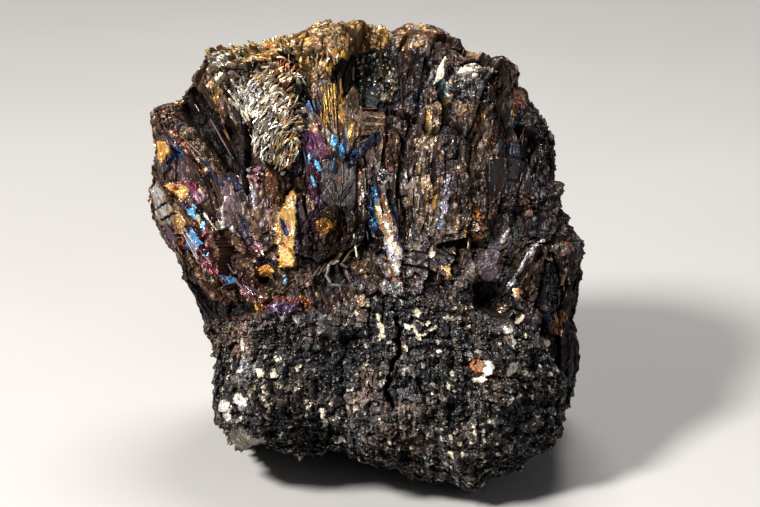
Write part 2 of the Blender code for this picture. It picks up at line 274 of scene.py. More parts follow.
def mesh_object(name, world, quads, tris, tint, film, local, material, shade_smooth=False):
    mesh = bpy.data.meshes.new(name)
    mesh.vertices.add(len(world))
    mesh.vertices.foreach_set("co", world.astype(np.float32).ravel())
    loops = np.concatenate([quads.ravel(), tris.ravel()]).astype(np.int32)
    sizes = np.concatenate([np.full(len(quads), 4), np.full(len(tris), 3)])
    mesh.loops.add(len(loops))
    mesh.loops.foreach_set("vertex_index", loops)
    mesh.polygons.add(len(sizes))
    starts = np.concatenate([[0], np.cumsum(sizes)[:-1]]).astype(np.int32)
    mesh.polygons.foreach_set("loop_start", starts)
    mesh.polygons.foreach_set("use_smooth", np.full(len(sizes), shade_smooth))
    mesh.update(calc_edges=True)
    four = np.concatenate([tint, np.ones((len(tint), 1))], 1).astype(np.float32)
    mesh.attributes.new("tint", "FLOAT_COLOR", "FACE").data.foreach_set("color", four.ravel())
    four = np.concatenate([film, np.ones((len(film), 1))], 1).astype(np.float32)
    mesh.attributes.new("film", "FLOAT_COLOR", "FACE").data.foreach_set("color", four.ravel())
    mesh.attributes.new("grain", "FLOAT_VECTOR", "POINT").data.foreach_set("vector", local.astype(np.float32).ravel())
    mesh.materials.append(material)
    obj = bpy.data.objects.new(name, mesh)
    bpy.context.scene.collection.objects.link(obj)
    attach(obj, "root")
    print(name, "triangles", len(quads) * 2 + len(tris))
    return obj


def add_plates(batch, start, along, side, length, width, thick, tint, edge_tint, film, root_share=0.7, tip_share=0.8,
               skew=0.0, bend_out=0.0, bend_side=0.0, ragged=0.06, wave=0.0, stations=6):
    """Thin plates, all at once: each a closed strip of quads from its root to its broken tip. Sizes in layout mm."""
    n = len(start)
    one = np.ones(n)
    length, width, thick = one * length, one * width, one * thick
    root_share, tip_share, skew = one * root_share, one * tip_share, one * skew
    bend_out, bend_side, wave = one * bend_out, one * bend_side, one * wave
    along = unit(along)
    side = unit(side - along * (side * along).sum(-1, keepdims=True))
    out = np.cross(along, side)
    s = np.linspace(0, 1, stations)[None, :]
    half = width[:, None] / 2 * (root_share[:, None] + (1 - root_share[:, None]) * smooth(0, 0.45, s))
    half = half * np.where(s > 0.99, tip_share[:, None], 1.0)
    left = -half * (1 + ragged * rng.normal(size=(n, stations)))
    right = half * (1 + ragged * rng.normal(size=(n, stations)))
    step = length[:, None] * s + length[:, None] * 0.04 * rng.normal(size=(n, stations)) * (s > 0) * (s < 1)
    last = (s > 0.99) * 1.0
    u_left, u_right = step - skew[:, None] * last, step + skew[:, None] * last
    lift = bend_out[:, None] * s**2 + wave[:, None] * np.sin(s * 9 + rng.uniform(0, 6, (n, 1)))
    shift = bend_side[:, None] * s**2
    t = thick[:, None] / 2 * (1 - 0.35 * last)
    u = np.stack([u_left, u_right, u_right, u_left], -1)
    v = np.stack([left, right, right, left], -1) + shift[..., None]
    w = np.stack([t, t, -t, -t], -1) + lift[..., None]
    p = start[:, None, None, :] + along[:, None, None, :] * u[..., None] + side[:, None, None, :] * v[..., None] + out[:, None, None, :] * w[..., None]
    local = np.stack([u + rng.uniform(0, 90, (n, 1, 1)), v + rng.uniform(0, 90, (n, 1, 1)), w], -1)
    base = (np.arange(n) * stations * 4)[:, None, None]
    k = (np.arange(stations - 1) * 4)[None, :, None]
    ring = np.arange(4)[None, None, :]
    nxt = (ring + 1) % 4
    faces = np.stack([base + k + ring, base + k + nxt, base + k + 4 + nxt, base + k + 4 + ring], -1).reshape(n, -1, 4)
    root_cap = (base[:, 0] + np.array([3, 2, 1, 0])[None, :])[:, None, :]
    tip_cap = (base[:, 0] + (stations - 1) * 4 + np.array([0, 1, 2, 3])[None, :])[:, None, :]
    faces = np.concatenate([faces, root_cap, tip_cap], 1)[:, :, ::-1]
    is_edge = np.array(([0, 1, 0, 1] * (stations - 1)) + [1, 1], float)
    m = faces.shape[1]
    tint = np.broadcast_to(tint, (n, 3))
    edge_tint = np.broadcast_to(edge_tint, (n, 3))
    colour = tint[:, None, :] * (1 - is_edge[None, :, None]) + edge_tint[:, None, :] * is_edge[None, :, None]
    colour = colour * np.exp(rng.normal(0, 0.10, (n, m, 1)))
    film = np.broadcast_to(film, (n, 3))
    film = np.repeat(film[:, None, :], m, 1) + np.stack([rng.normal(0, 0.03, (n, m)), np.zeros((n, m)), rng.normal(0, 0.02, (n, m))], -1)
    film[..., 1] = film[..., 1] * (1 - 0.5 * is_edge[None, :])
    batch.add(p.reshape(-1, 3), faces.reshape(-1, 4), np.clip(colour.reshape(-1, 3), 0, 1), np.clip(film.reshape(-1, 3), 0, 1), local.reshape(-1, 3))


OCTA = np.array([[1, 0, 0], [-1, 0, 0], [0, 1, 0], [0, -1, 0], [0, 0, 1], [0, 0, -1]], float)
OCTA_FACES = np.array([[0, 2, 4], [2, 1, 4], [1, 3, 4], [3, 0, 4], [2, 0, 5], [1, 2, 5], [3, 1, 5], [0, 3, 5]])
CUBE = np.array([[x, y, z] for z in (-1, 1) for y in (-1, 1) for x in (-1, 1)], float)
CUBE_FACES = np.array([[0, 2, 3, 1], [4, 5, 7, 6], [0, 1, 5, 4], [2, 6, 7, 3], [0, 4, 6, 2], [1, 3, 7, 5]])


def add_grains(batch, centre, size, normal, tint, film, flat=1.0, blocky=False, spread=0.25, stretch=None, tint_spread=0.15):
    """Small angular crystals, each turned its own way but no flatter than asked against the surface normal."""
    n = len(centre)
    base, faces = (CUBE * 0.62, CUBE_FACES) if blocky else (OCTA, OCTA_FACES)
    r = unit(rng.normal(size=(n, 3)) * spread + np.broadcast_to(normal, (n, 3)))
    a = unit(np.cross(r, rng.normal(size=(n, 3)))) if stretch is None else unit(stretch - r * (stretch * r).sum(-1, keepdims=True))
    b = np.cross(r, a)
    shape = base[None] * (1 + 0.28 * rng.normal(size=(n, len(base), 3)) * 0.6)
    size = np.broadcast_to(size, (n, 3)) if np.ndim(size) == 2 else np.stack([np.ones(n) * size] * 3, -1)
    q = shape * size[:, None, :] * np.array([1, 1, flat])
    p = centre[:, None, :] + a[:, None, :] * q[..., :1] + b[:, None, :] * q[..., 1:2] + r[:, None, :] * q[..., 2:3]
    index = (np.arange(n) * len(base))[:, None, None] + faces[None]
    m = len(faces)
    colour = np.broadcast_to(tint, (n, 3))[:, None, :] * np.exp(rng.normal(0, tint_spread, (n, m, 1)))
    sheet = np.repeat(np.broadcast_to(film, (n, 3))[:, None, :], m, 1)
    local = q + rng.uniform(0, 90, (n, 1, 3))
    batch.add(p.reshape(-1, 3), index.reshape(-1, faces.shape[1]), np.clip(colour.reshape(-1, 3), 0, 1), sheet.reshape(-1, 3), local.reshape(-1, 3))


def facets(batch, corners, lift, tint, edge_tint, film, thick=1.0, dome=0.15, jag=0.5, cuts=3):
    """One thin flake or crystal face on the display face, from its corners in pixels, with a broken edge."""
    pts = []
    for (x0, y0), (x1, y1) in zip(corners, corners[1:] + corners[:1]):
        for k in range(cuts):
            t = k / cuts
            pts.append((x0 + (x1 - x0) * t, y0 + (y1 - y0) * t))
    pts = np.array(pts) + rng.normal(0, jag, (len(pts), 2)) * 0.6
    mid = pts.mean(0)
    inner = mid + (pts - mid) * 0.55
    rim, ring = on_face(pts[:, 0], pts[:, 1], lift), on_face(inner[:, 0], inner[:, 1], lift + dome)
    hub = on_face(mid[:1], mid[1:], lift + dome * 1.1)
    # All but flat: the face's own relief is evened out across the flake.
    for q in (rim, ring, hub):
        q[:, 2] = q[:, 2] * 0.25 + 0.75 * plane_depth(rim, q)
    ring[:, 2] += dome
    hub[:, 2] += dome * 1.2
    low = rim - np.array([0, 0, thick])
    base = hub - np.array([0, 0, thick * 1.3])
    n = len(pts)
    verts = np.concatenate([rim, ring, hub, low, base])
    i = np.arange(n)
    j = (i + 1) % n
    side = np.concatenate([
        np.stack([i, j, n + j], 1), np.stack([i, n + j, n + i], 1), np.stack([n + i, n + j, np.full(n, 2 * n)], 1),
        np.stack([2 * n + 1 + i, j, i], 1), np.stack([2 * n + 1 + i, 2 * n + 1 + j, j], 1),
        np.stack([2 * n + 1 + j, 2 * n + 1 + i, np.full(n, 3 * n + 1)], 1),
    ])
    # Corners run clockwise on the picture (y down), so the top faces look outwards once turned over.
    side = side[:, ::-1]
    if signed_volume(verts, side) < 0:
        side = side[:, ::-1]
    is_edge = np.concatenate([np.zeros(3 * n), np.ones(3 * n)])
    colour = tint * (1 - is_edge[:, None]) + edge_tint * is_edge[:, None]
    colour = colour * np.exp(rng.normal(0, 0.08, (len(side), 1)))
    film = np.repeat(np.array(film, float)[None], len(side), 0)
    local = verts + rng.uniform(0, 90, (1, 3))
    batch.add(verts, side, np.clip(colour, 0, 1), film, local)


def plane_depth(rim, q):
    """Depth at q of the plane that fits the rim."""
    m = np.c_[rim[:, :2], np.ones(len(rim))]
    fit = np.linalg.lstsq(m, rim[:, 2], rcond=None)[0]
    return q[:, 0] * fit[0] + q[:, 1] * fit[1] + fit[2]


def signed_volume(verts, tris):
    a, b, c = verts[tris[:, 0]], verts[tris[:, 1]], verts[tris[:, 2]]
    return np.einsum("ij,ij->i", a, np.cross(b, c)).sum()


def book(batch, start, end, hint, width, thick, count, roll=0.0, tints=("bronze",), edges=("tan",), film=(0.3, 0.0, 0.4),
         spread=1.0, bright=1.0, root_share=0.65, tip_share=0.8, skew=None, ragged=0.06, bend_out=0.0, bend_side=0.0,
         wave=0.05, stations=6, tip_drop=0.10):
    """A book of thin plates from start to end (layout mm), its outer face turned towards hint and rolled about its length."""
    axis = end - start
    length = np.linalg.norm(axis)
    axis = axis / length
    side = np.cross(hint, axis)
    side = side / max(np.linalg.norm(side), 1e-6)
    out = np.cross(axis, side)
    c, s = math.cos(math.radians(roll)), math.sin(math.radians(roll))
    side, out = side * c + out * s, out * c - side * s
    k = np.arange(count)
    sheet = thick / count
    along = axis + side[None] * rng.normal(0, 0.012 * spread, (count, 1)) + out[None] * rng.normal(0, 0.008 * spread, (count, 1))
    offset = -(k + 0.5) * sheet
    shift = rng.normal(0, 0.07 * spread * width, count)
    begin = start + out * offset[:, None] + side * shift[:, None] + axis * (rng.uniform(0, 0.10, (count, 1)) * length * spread)
    lengths = length * (1 - rng.uniform(0, tip_drop * spread, count)) - np.abs(rng.normal(0, 0.05, count)) * length * (k > 0)
    pick = rng.integers(0, len(tints), count)
    pick_edge = rng.integers(0, len(edges), count)
    tone = np.stack([TINTS[tints[i]] for i in pick]) * np.exp(rng.normal(0, 0.16, (count, 1))) * bright
    rim = np.stack([TINTS[edges[i]] for i in pick_edge]) * np.exp(rng.normal(0, 0.35, (count, 1))) * bright
    sheen = np.repeat(np.array(film, float)[None], count, 0)
    sheen[:, 0] += rng.normal(0, 0.04, count)
    sheen[:, 2] += rng.normal(0, 0.05, count)
    if skew is None:
        skew = rng.normal(0, 0.14, count) * width
    add_plates(batch, begin, along, np.repeat(side[None], count, 0), lengths, width * (1 + rng.normal(0, 0.08 * spread, count)),
               sheet * 1.02, tone, rim, sheen, root_share, tip_share * (1 + rng.normal(0, 0.08, count)), skew, bend_out, bend_side, ragged,
               wave * sheet, stations)


def face_book(batch, x0, y0, x1, y1, width, lift0=0.0, lift1=0.0, thick=2.5, roll=0.0, count=6, **look):
    """A book on the display face, from its root pixel to its tip pixel; width in pixels, lifts of its outer face in mm."""
    start, end = on_face(x0, y0, lift0), on_face(x1, y1, lift1)
    book(batch, start, end, np.array([0.0, 0.0, 1.0]), width * PIXEL, thick, count, roll, **look)


# ---- which tones show where on the fan ---------------------------------------------------------------------
BASE_TONES = {"bronze": 3, "brown": 3, "umber": 2.5, "grey": 0.7, "tan": 0.7, "slate": 0.8, "black": 1.5}
TONES = [
    (330, 45, 55, 30, {"tan": 5, "gold": 3, "olive": 3, "cream": 1}), (328, 112, 20, 40, {"gold": 3, "grey": 3, "brown": 3, "tan": 2}),
    (318, 155, 24, 30, {"purple": 3, "brown": 3, "navy": 3, "mauve": 2}), (342, 180, 30, 34, {"brown": 5, "slate": 5, "umber": 3}),
    (378, 82, 36, 34, {"black": 8, "olive": 3, "umber": 3, "teal": 2}), (415, 80, 18, 60, {"mauve": 5, "grey": 5, "slate": 3, "brown": 2}),
    (400, 150, 22, 34, {"mauve": 4, "brown": 4, "grey": 2}), (440, 60, 22, 34, {"tan": 3, "umber": 4, "brown": 2}),
    (475, 85, 30, 22, {"ash": 4, "grey": 4, "black": 4, "silver": 1}), (478, 118, 22, 16, {"rust": 1.5, "tan": 2.5, "brown": 4, "grey": 2}),
    (515, 122, 24, 30, {"teal": 5, "slate": 5, "grey": 2, "rust": 1}), (546, 150, 16, 40, {"black": 8, "slate": 2}),
    (430, 180, 24, 70, {"gold": 1.5, "cream": 0.7, "brown": 4, "tan": 4, "bronze": 3}), (460, 220, 25, 60, {"brown": 4, "bronze": 3, "orange": 0.8, "mauve": 1}),
    (490, 200, 20, 50, {"brown": 3, "umber": 3, "rust": 1}), (515, 210, 34, 60, {"slate": 5, "umber": 4, "black": 4, "brown": 3}),
    (545, 270, 30, 50, {"brown": 5, "umber": 4, "tan": 1.5, "rust": 2}), (565, 310, 20, 44, {"bronze": 3, "black": 4, "umber": 3}),
    (390, 215, 24, 70, {"brown": 4, "grey": 3, "mauve": 2}), (240, 220, 46, 60, {"umber": 4, "mauve": 2.5, "brown": 4, "purple": 1, "black": 2}),
    (300, 220, 28, 60, {"brown": 4, "bronze": 3, "purple": 1}), (335, 250, 34, 42, {"umber": 4, "brown": 3, "black": 3, "tan": 0.8}),
    (280, 302, 60, 18, {"bronze": 4, "gold": 1, "purple": 1.5, "umber": 3}), (450, 275, 50, 26, {"mauve": 3, "purple": 1.5, "brown": 3, "tan": 1.5}),
    (205, 275, 40, 40, {"umber": 3, "black": 4, "brown": 1}), (262, 110, 60, 60, {"umber": 4, "black": 3, "tan": 3, "brown": 3}),
]  # fmt: skip
NAMES = list(TINTS)


def tone_at(x, y, count, spread=1.0):
    """A few tint names for a book whose middle is seen at (x, y)."""
    weight = {name: value * 0.35 for name, value in BASE_TONES.items()}
    for tx, ty, rx, ry, tones in TONES:
        near = math.exp(-(((x - tx) / rx) ** 2) - ((y - ty) / ry) ** 2)
        for name, value in tones.items():
            weight[name] = weight.get(name, 0) + value * near * 1.4
    names = list(weight)
    chance = np.array([weight[m] for m in names]) ** spread
    return tuple(rng.choice(names, size=count, p=chance / chance.sum()))


LIGHTER = {
    "black": "brown", "umber": "bronze", "bronze": "tan", "brown": "bronze", "slate": "grey", "grey": "ash", "ash": "silver",
    "tan": "cream", "cream": "white", "white": "white", "gold": "yellow", "yellow": "cream", "orange": "gold", "rust": "orange",
    "salmon": "tan", "mauve": "ash", "purple": "mauve", "magenta": "pink", "pink": "cream", "lilac": "white", "indigo": "blue",
    "navy": "blue", "blue": "sky", "sky": "cyan", "cyan": "white", "teal": "grey", "silver": "white", "mint": "white", "olive": "tan",
}  # fmt: skip


def rim_pixel(turn):
    """The outline's distance from the root, in pixels, along a turn measured from straight up, clockwise."""
    dx, dy = math.sin(turn), -math.cos(turn)
    far = 20.0
    while far < 340:
        x, y = ROOT_X + dx * far, ROOT_Y + dy * far
        a, b = (x - MID_X) * PIXEL, (MID_Y - y) * PIXEL
        if math.hypot(a, b) > rim_at(math.atan2(b, a)):
            break
        far += 1.0
    return far


# ---- materials ---------------------------------------------------------------------------------------------
FILM_STOPS = [
    (0.00, "tan"), (0.12, "gold"), (0.22, "orange"), (0.32, "magenta"), (0.42, "purple"), (0.52, "indigo"),
    (0.63, "blue"), (0.76, "sky"), (0.88, "cyan"), (1.00, "yellow"),
]  # fmt: skip


class Nodes:
    """Short names for building a material's nodes."""

    def __init__(self, name):
        self.mat = bpy.data.materials.new(name)
        self.mat.use_nodes = True
        self.tree = self.mat.node_tree
        self.shader = self.tree.nodes["Principled BSDF"]

    def new(self, kind, **inputs):
        made = self.tree.nodes.new(kind)
        for key, value in inputs.items():
            self.set(made, key.replace("_", " "), value)
        return made

    def set(self, made, key, value):
        if isinstance(value, bpy.types.NodeSocket):
            self.tree.links.new(value, made.inputs[key])
        else:
            made.inputs[key].default_value = value

    def math(self, op, a, b=0.0, c=0.0, clamp=False):
        made = self.tree.nodes.new("ShaderNodeMath")
        made.operation, made.use_clamp = op, clamp
        for i, value in enumerate((a, b, c)):
            if isinstance(value, bpy.types.NodeSocket):
                self.tree.links.new(value, made.inputs[i])
            else:
                made.inputs[i].default_value = value
        return made.outputs[0]

    def mix(self, share, a, b, blend="MIX"):
        made = self.tree.nodes.new("ShaderNodeMix")
        made.data_type, made.blend_type = "RGBA", blend
        for i, value in ((0, share), (6, a), (7, b)):
            if isinstance(value, bpy.types.NodeSocket):
                self.tree.links.new(value, made.inputs[i])
            else:
                made.inputs[i].default_value = value
        return made.outputs[2]

    def attribute(self, name):
        made = self.tree.nodes.new("ShaderNodeAttribute")
        made.attribute_name = name
        return made

    def noise(self, vector, scale, detail=4.0, rough=0.6, stretch=None, distortion=0.0):
        if stretch is not None:
            moved = self.new("ShaderNodeMapping", Vector=vector)
            moved.inputs["Scale"].default_value = stretch
            vector = moved.outputs[0]
        return self.new("ShaderNodeTexNoise", Vector=vector, Scale=scale, Detail=detail, Roughness=rough, Distortion=distortion).outputs[0]

    def ramp(self, value, stops):
        made = self.tree.nodes.new("ShaderNodeValToRGB")
        self.tree.links.new(value, made.inputs[0])
        ramp = made.color_ramp
        while len(ramp.elements) < len(stops):
            ramp.elements.new(0.5)
        for element, (at, colour) in zip(ramp.elements, stops):
            element.position = at
            element.color = (*colour, 1) if len(colour) == 3 else colour
        return made.outputs[0]

    def stretch(self, value, low, high):
        """value's low..high spread over 0..1."""
        made = self.new("ShaderNodeMapRange", Value=value)
        made.inputs["From Min"].default_value = low
        made.inputs["From Max"].default_value = high
        return made.outputs[0]


def crystal_material(name, streak=3.2, metallic=0.6, bump_mm=0.10, contrast=0.9, gloss=0.0, film_noise=0.5):
    """Tarnished plates: streaks along each plate, mottling, thin-film colours by rule, and a fine grained relief."""
    m = Nodes(name)
    tint, film, grain = m.attribute("tint"), m.attribute("film"), m.attribute("grain").outputs["Vector"]
    parts = m.new("ShaderNodeSeparateColor", Color=film.outputs["Color"])
    phase, share, rough = parts.outputs[0], parts.outputs[1], parts.outputs[2]
    lines = m.noise(grain, 1.0, 5.0, 0.65, (0.16, streak, streak))
    blotch = m.noise(grain, 0.42, 5.0, 0.62)
    fine = m.noise(grain, 2.6, 4.0, 0.7)
    pits = m.new("ShaderNodeTexVoronoi", Vector=grain, Scale=1.7)
    lines_wide = m.stretch(lines, 0.28, 0.72)
    blotch_wide = m.stretch(blotch, 0.3, 0.7)
    # Streaks and mottling darken and lighten the plate's own tint.
    shade = m.math("MULTIPLY_ADD", lines_wide, contrast, 1.0 - contrast * 0.55)
    shade = m.math("MULTIPLY", shade, m.math("MULTIPLY_ADD", blotch_wide, 0.7, 0.65))
    scaled = m.tree.nodes.new("ShaderNodeVectorMath")
    scaled.operation = "SCALE"
    m.tree.links.new(tint.outputs["Color"], scaled.inputs[0])
    m.tree.links.new(shade, scaled.inputs["Scale"])
    warm = m.mix(m.math("MULTIPLY", m.stretch(fine, 0.52, 0.72), 0.18), scaled.outputs[0], (*(TINTS["rust"] * 0.6), 1))
    # The thin film: its colour runs with the mottling and the streaks.
    at = m.math("MULTIPLY_ADD", m.math("SUBTRACT", blotch, 0.5), film_noise, phase)
    at = m.math("MULTIPLY_ADD", m.math("SUBTRACT", lines, 0.5), film_noise * 0.5, at, clamp=True)
    rainbow = m.ramp(at, [(p, TINTS[t]) for p, t in FILM_STOPS])
    worn = m.math("MULTIPLY", share, m.stretch(m.math("ADD", m.math("MULTIPLY", fine, 0.5), m.math("MULTIPLY", lines, 0.5)), 0.40, 0.52), clamp=True)
    colour = m.mix(worn, warm, rainbow)
    m.set(m.shader, "Base Color", colour)
    m.shader.inputs["Metallic"].default_value = metallic
    spread = m.math("MULTIPLY_ADD", m.math("SUBTRACT", fine, 0.5), 0.45, m.math("SUBTRACT", rough, gloss))
    m.set(m.shader, "Roughness", m.math("MAXIMUM", spread, 0.12))
    height = m.math("ADD", m.math("MULTIPLY", lines, 0.9), m.math("MULTIPLY", fine, 0.5))
    height = m.math("MULTIPLY_ADD", pits.outputs["Distance"], 0.25, height)
    bump = m.new("ShaderNodeBump", Strength=0.9, Distance=bump_mm * 0.001, Height=height)
    m.set(m.shader, "Normal", bump.outputs[0])
    return m.mat


def matrix_material(name):
    """Fine granular sulphide: dark cells with their own shades, a few of them with a painted glint of pale ash, over
    brown and purple tints.
    """
    m = Nodes(name)
    tint, film, grain = m.attribute("tint"), m.attribute("film"), m.attribute("grain").outputs["Vector"]
    parts = m.new("ShaderNodeSeparateColor", Color=film.outputs["Color"])
    cells = m.new("ShaderNodeTexVoronoi", Vector=grain, Scale=1.9, Randomness=1.0)
    small = m.new("ShaderNodeTexVoronoi", Vector=grain, Scale=4.2, Randomness=1.0)
    lot = m.new("ShaderNodeSeparateColor", Color=cells.outputs["Color"])
    lot_small = m.new("ShaderNodeSeparateColor", Color=small.outputs["Color"])
    patch = m.noise(grain, 0.16, 5.0, 0.62)
    fine = m.noise(grain, 3.4, 4.0, 0.7)
    shade = m.math("MULTIPLY_ADD", lot.outputs[0], 1.1, 0.35)
    shade = m.math("MULTIPLY", shade, m.math("MULTIPLY_ADD", lot_small.outputs[1], 0.9, 0.5))
    shade = m.math("MULTIPLY", shade, m.math("MULTIPLY_ADD", m.stretch(patch, 0.3, 0.7), 0.7, 0.6))
    scaled = m.tree.nodes.new("ShaderNodeVectorMath")
    scaled.operation = "SCALE"
    m.tree.links.new(tint.outputs["Color"], scaled.inputs[0])
    m.tree.links.new(shade, scaled.inputs["Scale"])
    # Painted glints: a few small cells turn pale ash, as far as the film share allows.
    glint = m.math("GREATER_THAN", lot_small.outputs[0], 0.90)
    glint = m.math("MULTIPLY", glint, parts.outputs[1])
    colour = m.mix(glint, scaled.outputs[0], (*(TINTS["ash"] * 0.9), 1))
    m.set(m.shader, "Base Color", colour)
    m.shader.inputs["Metallic"].default_value = 0.45
    m.set(m.shader, "Roughness", m.math("MULTIPLY_ADD", lot.outputs[2], 0.35, m.math("MULTIPLY", parts.outputs[2], 0.8)))
    height = m.math("MULTIPLY_ADD", small.outputs["Distance"], -0.8, m.math("MULTIPLY", fine, 0.6))
    bump = m.new("ShaderNodeBump", Strength=0.9, Distance=0.00016, Height=height)
    m.set(m.shader, "Normal", bump.outputs[0])
    return m.mat


# ---- the core: the specimen's mass, with the granular matrix in relief ------------------------------------
def ball(level):
    """Unit directions and triangles of an icosahedron whose edges are each cut into level parts."""
    g = (1 + 5**0.5) / 2
    corner = unit(np.array([[-1, g, 0], [1, g, 0], [-1, -g, 0], [1, -g, 0], [0, -1, g], [0, 1, g], [0, -1, -g], [0, 1, -g], [g, 0, -1], [g, 0, 1], [-g, 0, -1], [-g, 0, 1]], float))
    sides = [(0, 11, 5), (0, 5, 1), (0, 1, 7), (0, 7, 10), (0, 10, 11), (1, 5, 9), (5, 11, 4), (11, 10, 2), (10, 7, 6), (7, 1, 8),
             (3, 9, 4), (3, 4, 2), (3, 2, 6), (3, 6, 8), (3, 8, 9), (4, 9, 5), (2, 4, 11), (6, 2, 10), (8, 6, 7), (9, 8, 1)]
    i, j = np.meshgrid(np.arange(level + 1), np.arange(level + 1), indexing="ij")
    keep = (i + j) <= level
    index = np.full(i.shape, -1)
    index[keep] = np.arange(keep.sum())
    ii, jj = i[keep], j[keep]
    a, b, c = index[:-1, :-1], index[1:, :-1], index[:-1, 1:]
    up = ((i + j)[:-1, :-1] <= level - 1)
    tri_up = np.stack([a[up], b[up], c[up]], 1)
    d = index[1:, 1:]
    down = ((i + j)[:-1, :-1] <= level - 2)
    tri_down = np.stack([b[down], d[down], c[down]], 1)
    local_tris = np.concatenate([tri_up, tri_down])
    points, tris = [], []
    for n, (p, q, r) in enumerate(sides):
        w = (corner[p][None] * (level - ii - jj)[:, None] + corner[q][None] * ii[:, None] + corner[r][None] * jj[:, None]) / level
        points.append(w)
        tris.append(local_tris + n * keep.sum())
    points, tris = np.concatenate(points), np.concatenate(tris)
    key = np.round(points * 1e5).astype(np.int64)
    _, first, inverse = np.unique(key, axis=0, return_index=True, return_inverse=True)
    points, tris = points[first], inverse.reshape(-1)[tris]
    return unit(points), tris


def matrix_share(p):
    """1 on the granular matrix, 0 on the fan, at layout points."""
    x, y = pixel_of(p)
    wander = 7 * value_noise(p, 7.0, 5) + 4 * value_noise(p, 2.5, 6)
    bank = np.interp(x, [180, 215, 240, 300, 350, 392, 440, 480, 510, 545, 580], [330, 318, 322, 318, 312, 292, 300, 312, 318, 345, 400])
    front = smooth(-6, 6, y + wander - bank)
    back = smooth(-2.5, 2.5, -16 - p[..., 1] + wander * 0.2)
    at_front = smooth(-4, 4, p[..., 2])
    return front * at_front + back * (1 - at_front)


def crack_share(x, y):
    best = np.full(np.shape(x), 99.0)
    for (x0, y0), (x1, y1) in zip(CRACK, CRACK[1:]):
        dx, dy = x1 - x0, y1 - y0
        t = np.clip(((x - x0) * dx + (y - y0) * dy) / (dx * dx + dy * dy), 0, 1)
        best = np.minimum(best, np.hypot(x - x0 - t * dx, y - y0 - t * dy))
    return best


# Which way the fan's plates run, in degrees clockwise from straight up, at some pixel places.
FLOW = [
    (155, 200, -42), (175, 240, -42), (200, 270, -44), (240, 290, -42), (165, 120, -30), (185, 150, -38), (200, 110, -30),
    (215, 90, -22), (225, 150, -28), (245, 200, -16), (235, 240, -24), (262, 180, -8), (262, 250, -18), (250, 70, -14), (285, 230, -7),
    (300, 60, -8), (300, 130, -6), (300, 280, -20), (330, 110, -3), (330, 170, -6), (345, 50, -2), (330, 240, 20), (330, 280, -10),
    (360, 190, -2), (375, 90, 0), (390, 220, -12), (365, 260, -6), (400, 80, 3), (410, 150, 0), (410, 230, -4), (400, 290, -8),
    (430, 60, 3), (430, 180, 2), (440, 250, 8), (450, 130, 3), (460, 210, 3), (465, 280, 20), (470, 80, 6), (480, 160, 4),
    (500, 80, 12), (505, 130, 12), (500, 200, 6), (495, 250, 22), (525, 110, 18), (530, 160, 12), (535, 210, 12), (530, 255, 30),
    (515, 290, 34), (545, 260, 24), (560, 210, 10), (572, 245, 14), (555, 300, 16), (570, 300, 8), (540, 330, 22), (560, 350, 10),
]  # fmt: skip
FLOW_XY = np.array([(x, y) for x, y, _ in FLOW], float)
FLOW_TURN = np.radians([t for _, _, t in FLOW])
GRID_STEP, GRID_X0, GRID_Y0 = 6.0, 60.0, -60.0
GRID_X, GRID_Y = np.meshgrid(np.arange(GRID_X0, 700, GRID_STEP), np.arange(GRID_Y0, 600, GRID_STEP), indexing="ij")


def flow_grid():
    w = 1 / ((GRID_X[..., None] - FLOW_XY[:, 0]) ** 2 + (GRID_Y[..., None] - FLOW_XY[:, 1]) ** 2 + 120.0) ** 1.5
    return np.arctan2((w * np.sin(FLOW_TURN)).sum(-1), (w * np.cos(FLOW_TURN)).sum(-1))


def look_up(table, x, y):
    """A grid table's value at pixels, blended between its four neighbours."""
    fx = np.clip((x - GRID_X0) / GRID_STEP, 0, table.shape[0] - 1.001)
    fy = np.clip((y - GRID_Y0) / GRID_STEP, 0, table.shape[1] - 1.001)
    i, j = fx.astype(int), fy.astype(int)
    s, t = fx - i, fy - j
    return (table[i, j] * (1 - s) + table[i + 1, j] * s) * (1 - t) + (table[i, j + 1] * (1 - s) + table[i + 1, j + 1] * s) * t


TURN_TABLE = flow_grid()


def across_table():
    """For each grid place, where its plate crosses a wide arc halfway up the fan, as a length along that arc."""
    px, py = GRID_X.copy(), GRID_Y.copy()
    for _ in range(110):
        turn = look_up(TURN_TABLE, px, py)
        step = np.clip(190 - np.hypot((px - 400) / 1.1, py - 400), -4, 4)
        px, py = px + np.sin(turn) * step, py - np.cos(turn) * step
    return np.arctan2((px - 400) / 1.1, 400 - py) * 190


def even_widths(table):
    """The across coordinate, stretched where its plates would come out wide and squeezed where they would come out thin."""
    gx, gy = np.gradient(table, GRID_STEP)
    slope = np.hypot(gx, gy)
    far = np.hypot((GRID_X - 400) / 1.1, GRID_Y - 400)
    fan = (far > 110) & (far < 300) & (GRID_Y < 320) & (slope < 4)
    edges = np.arange(-400, 401, 10.0)
    bin_of = np.clip(np.digitize(table[fan], edges) - 1, 0, len(edges) - 2)
    total = np.bincount(bin_of, slope[fan], len(edges) - 1)
    number = np.bincount(bin_of, minlength=len(edges) - 1)
    mean = np.where(number > 0, total / np.maximum(number, 1), 1.0)
    stretch = np.clip(0.85 / np.maximum(mean, 0.05), 0.6, 3.0)
    return np.interp(table, edges, np.concatenate([[0.0], np.cumsum(stretch * 10.0)]))


ACROSS_TABLE = even_widths(across_table())
OUT_LOCAL = np.array([0.0, 0.0, 1.0])


def column_space(p):
    """Layout points to a space where the fan's columns stand side by side: across, along (shortened) and deep, in mm."""
    x, y = MID_X + p[:, 0] / PIXEL, MID_Y - p[:, 1] / PIXEL
    x = x + 5.0 * value_noise(p, 9.0, 61) + 1.6 * value_noise(p, 2.6, 62)
    across = look_up(ACROSS_TABLE, x, y) * PIXEL
    along = np.hypot(x - 400, y - 420) * PIXEL
    return np.stack([across, along / 5.5, p[:, 2] * 0.8], 1)


# Ledges and patches of the surface: corners in pixels, tints, film, how far raised, how flat, how bright.
PATCHES = []


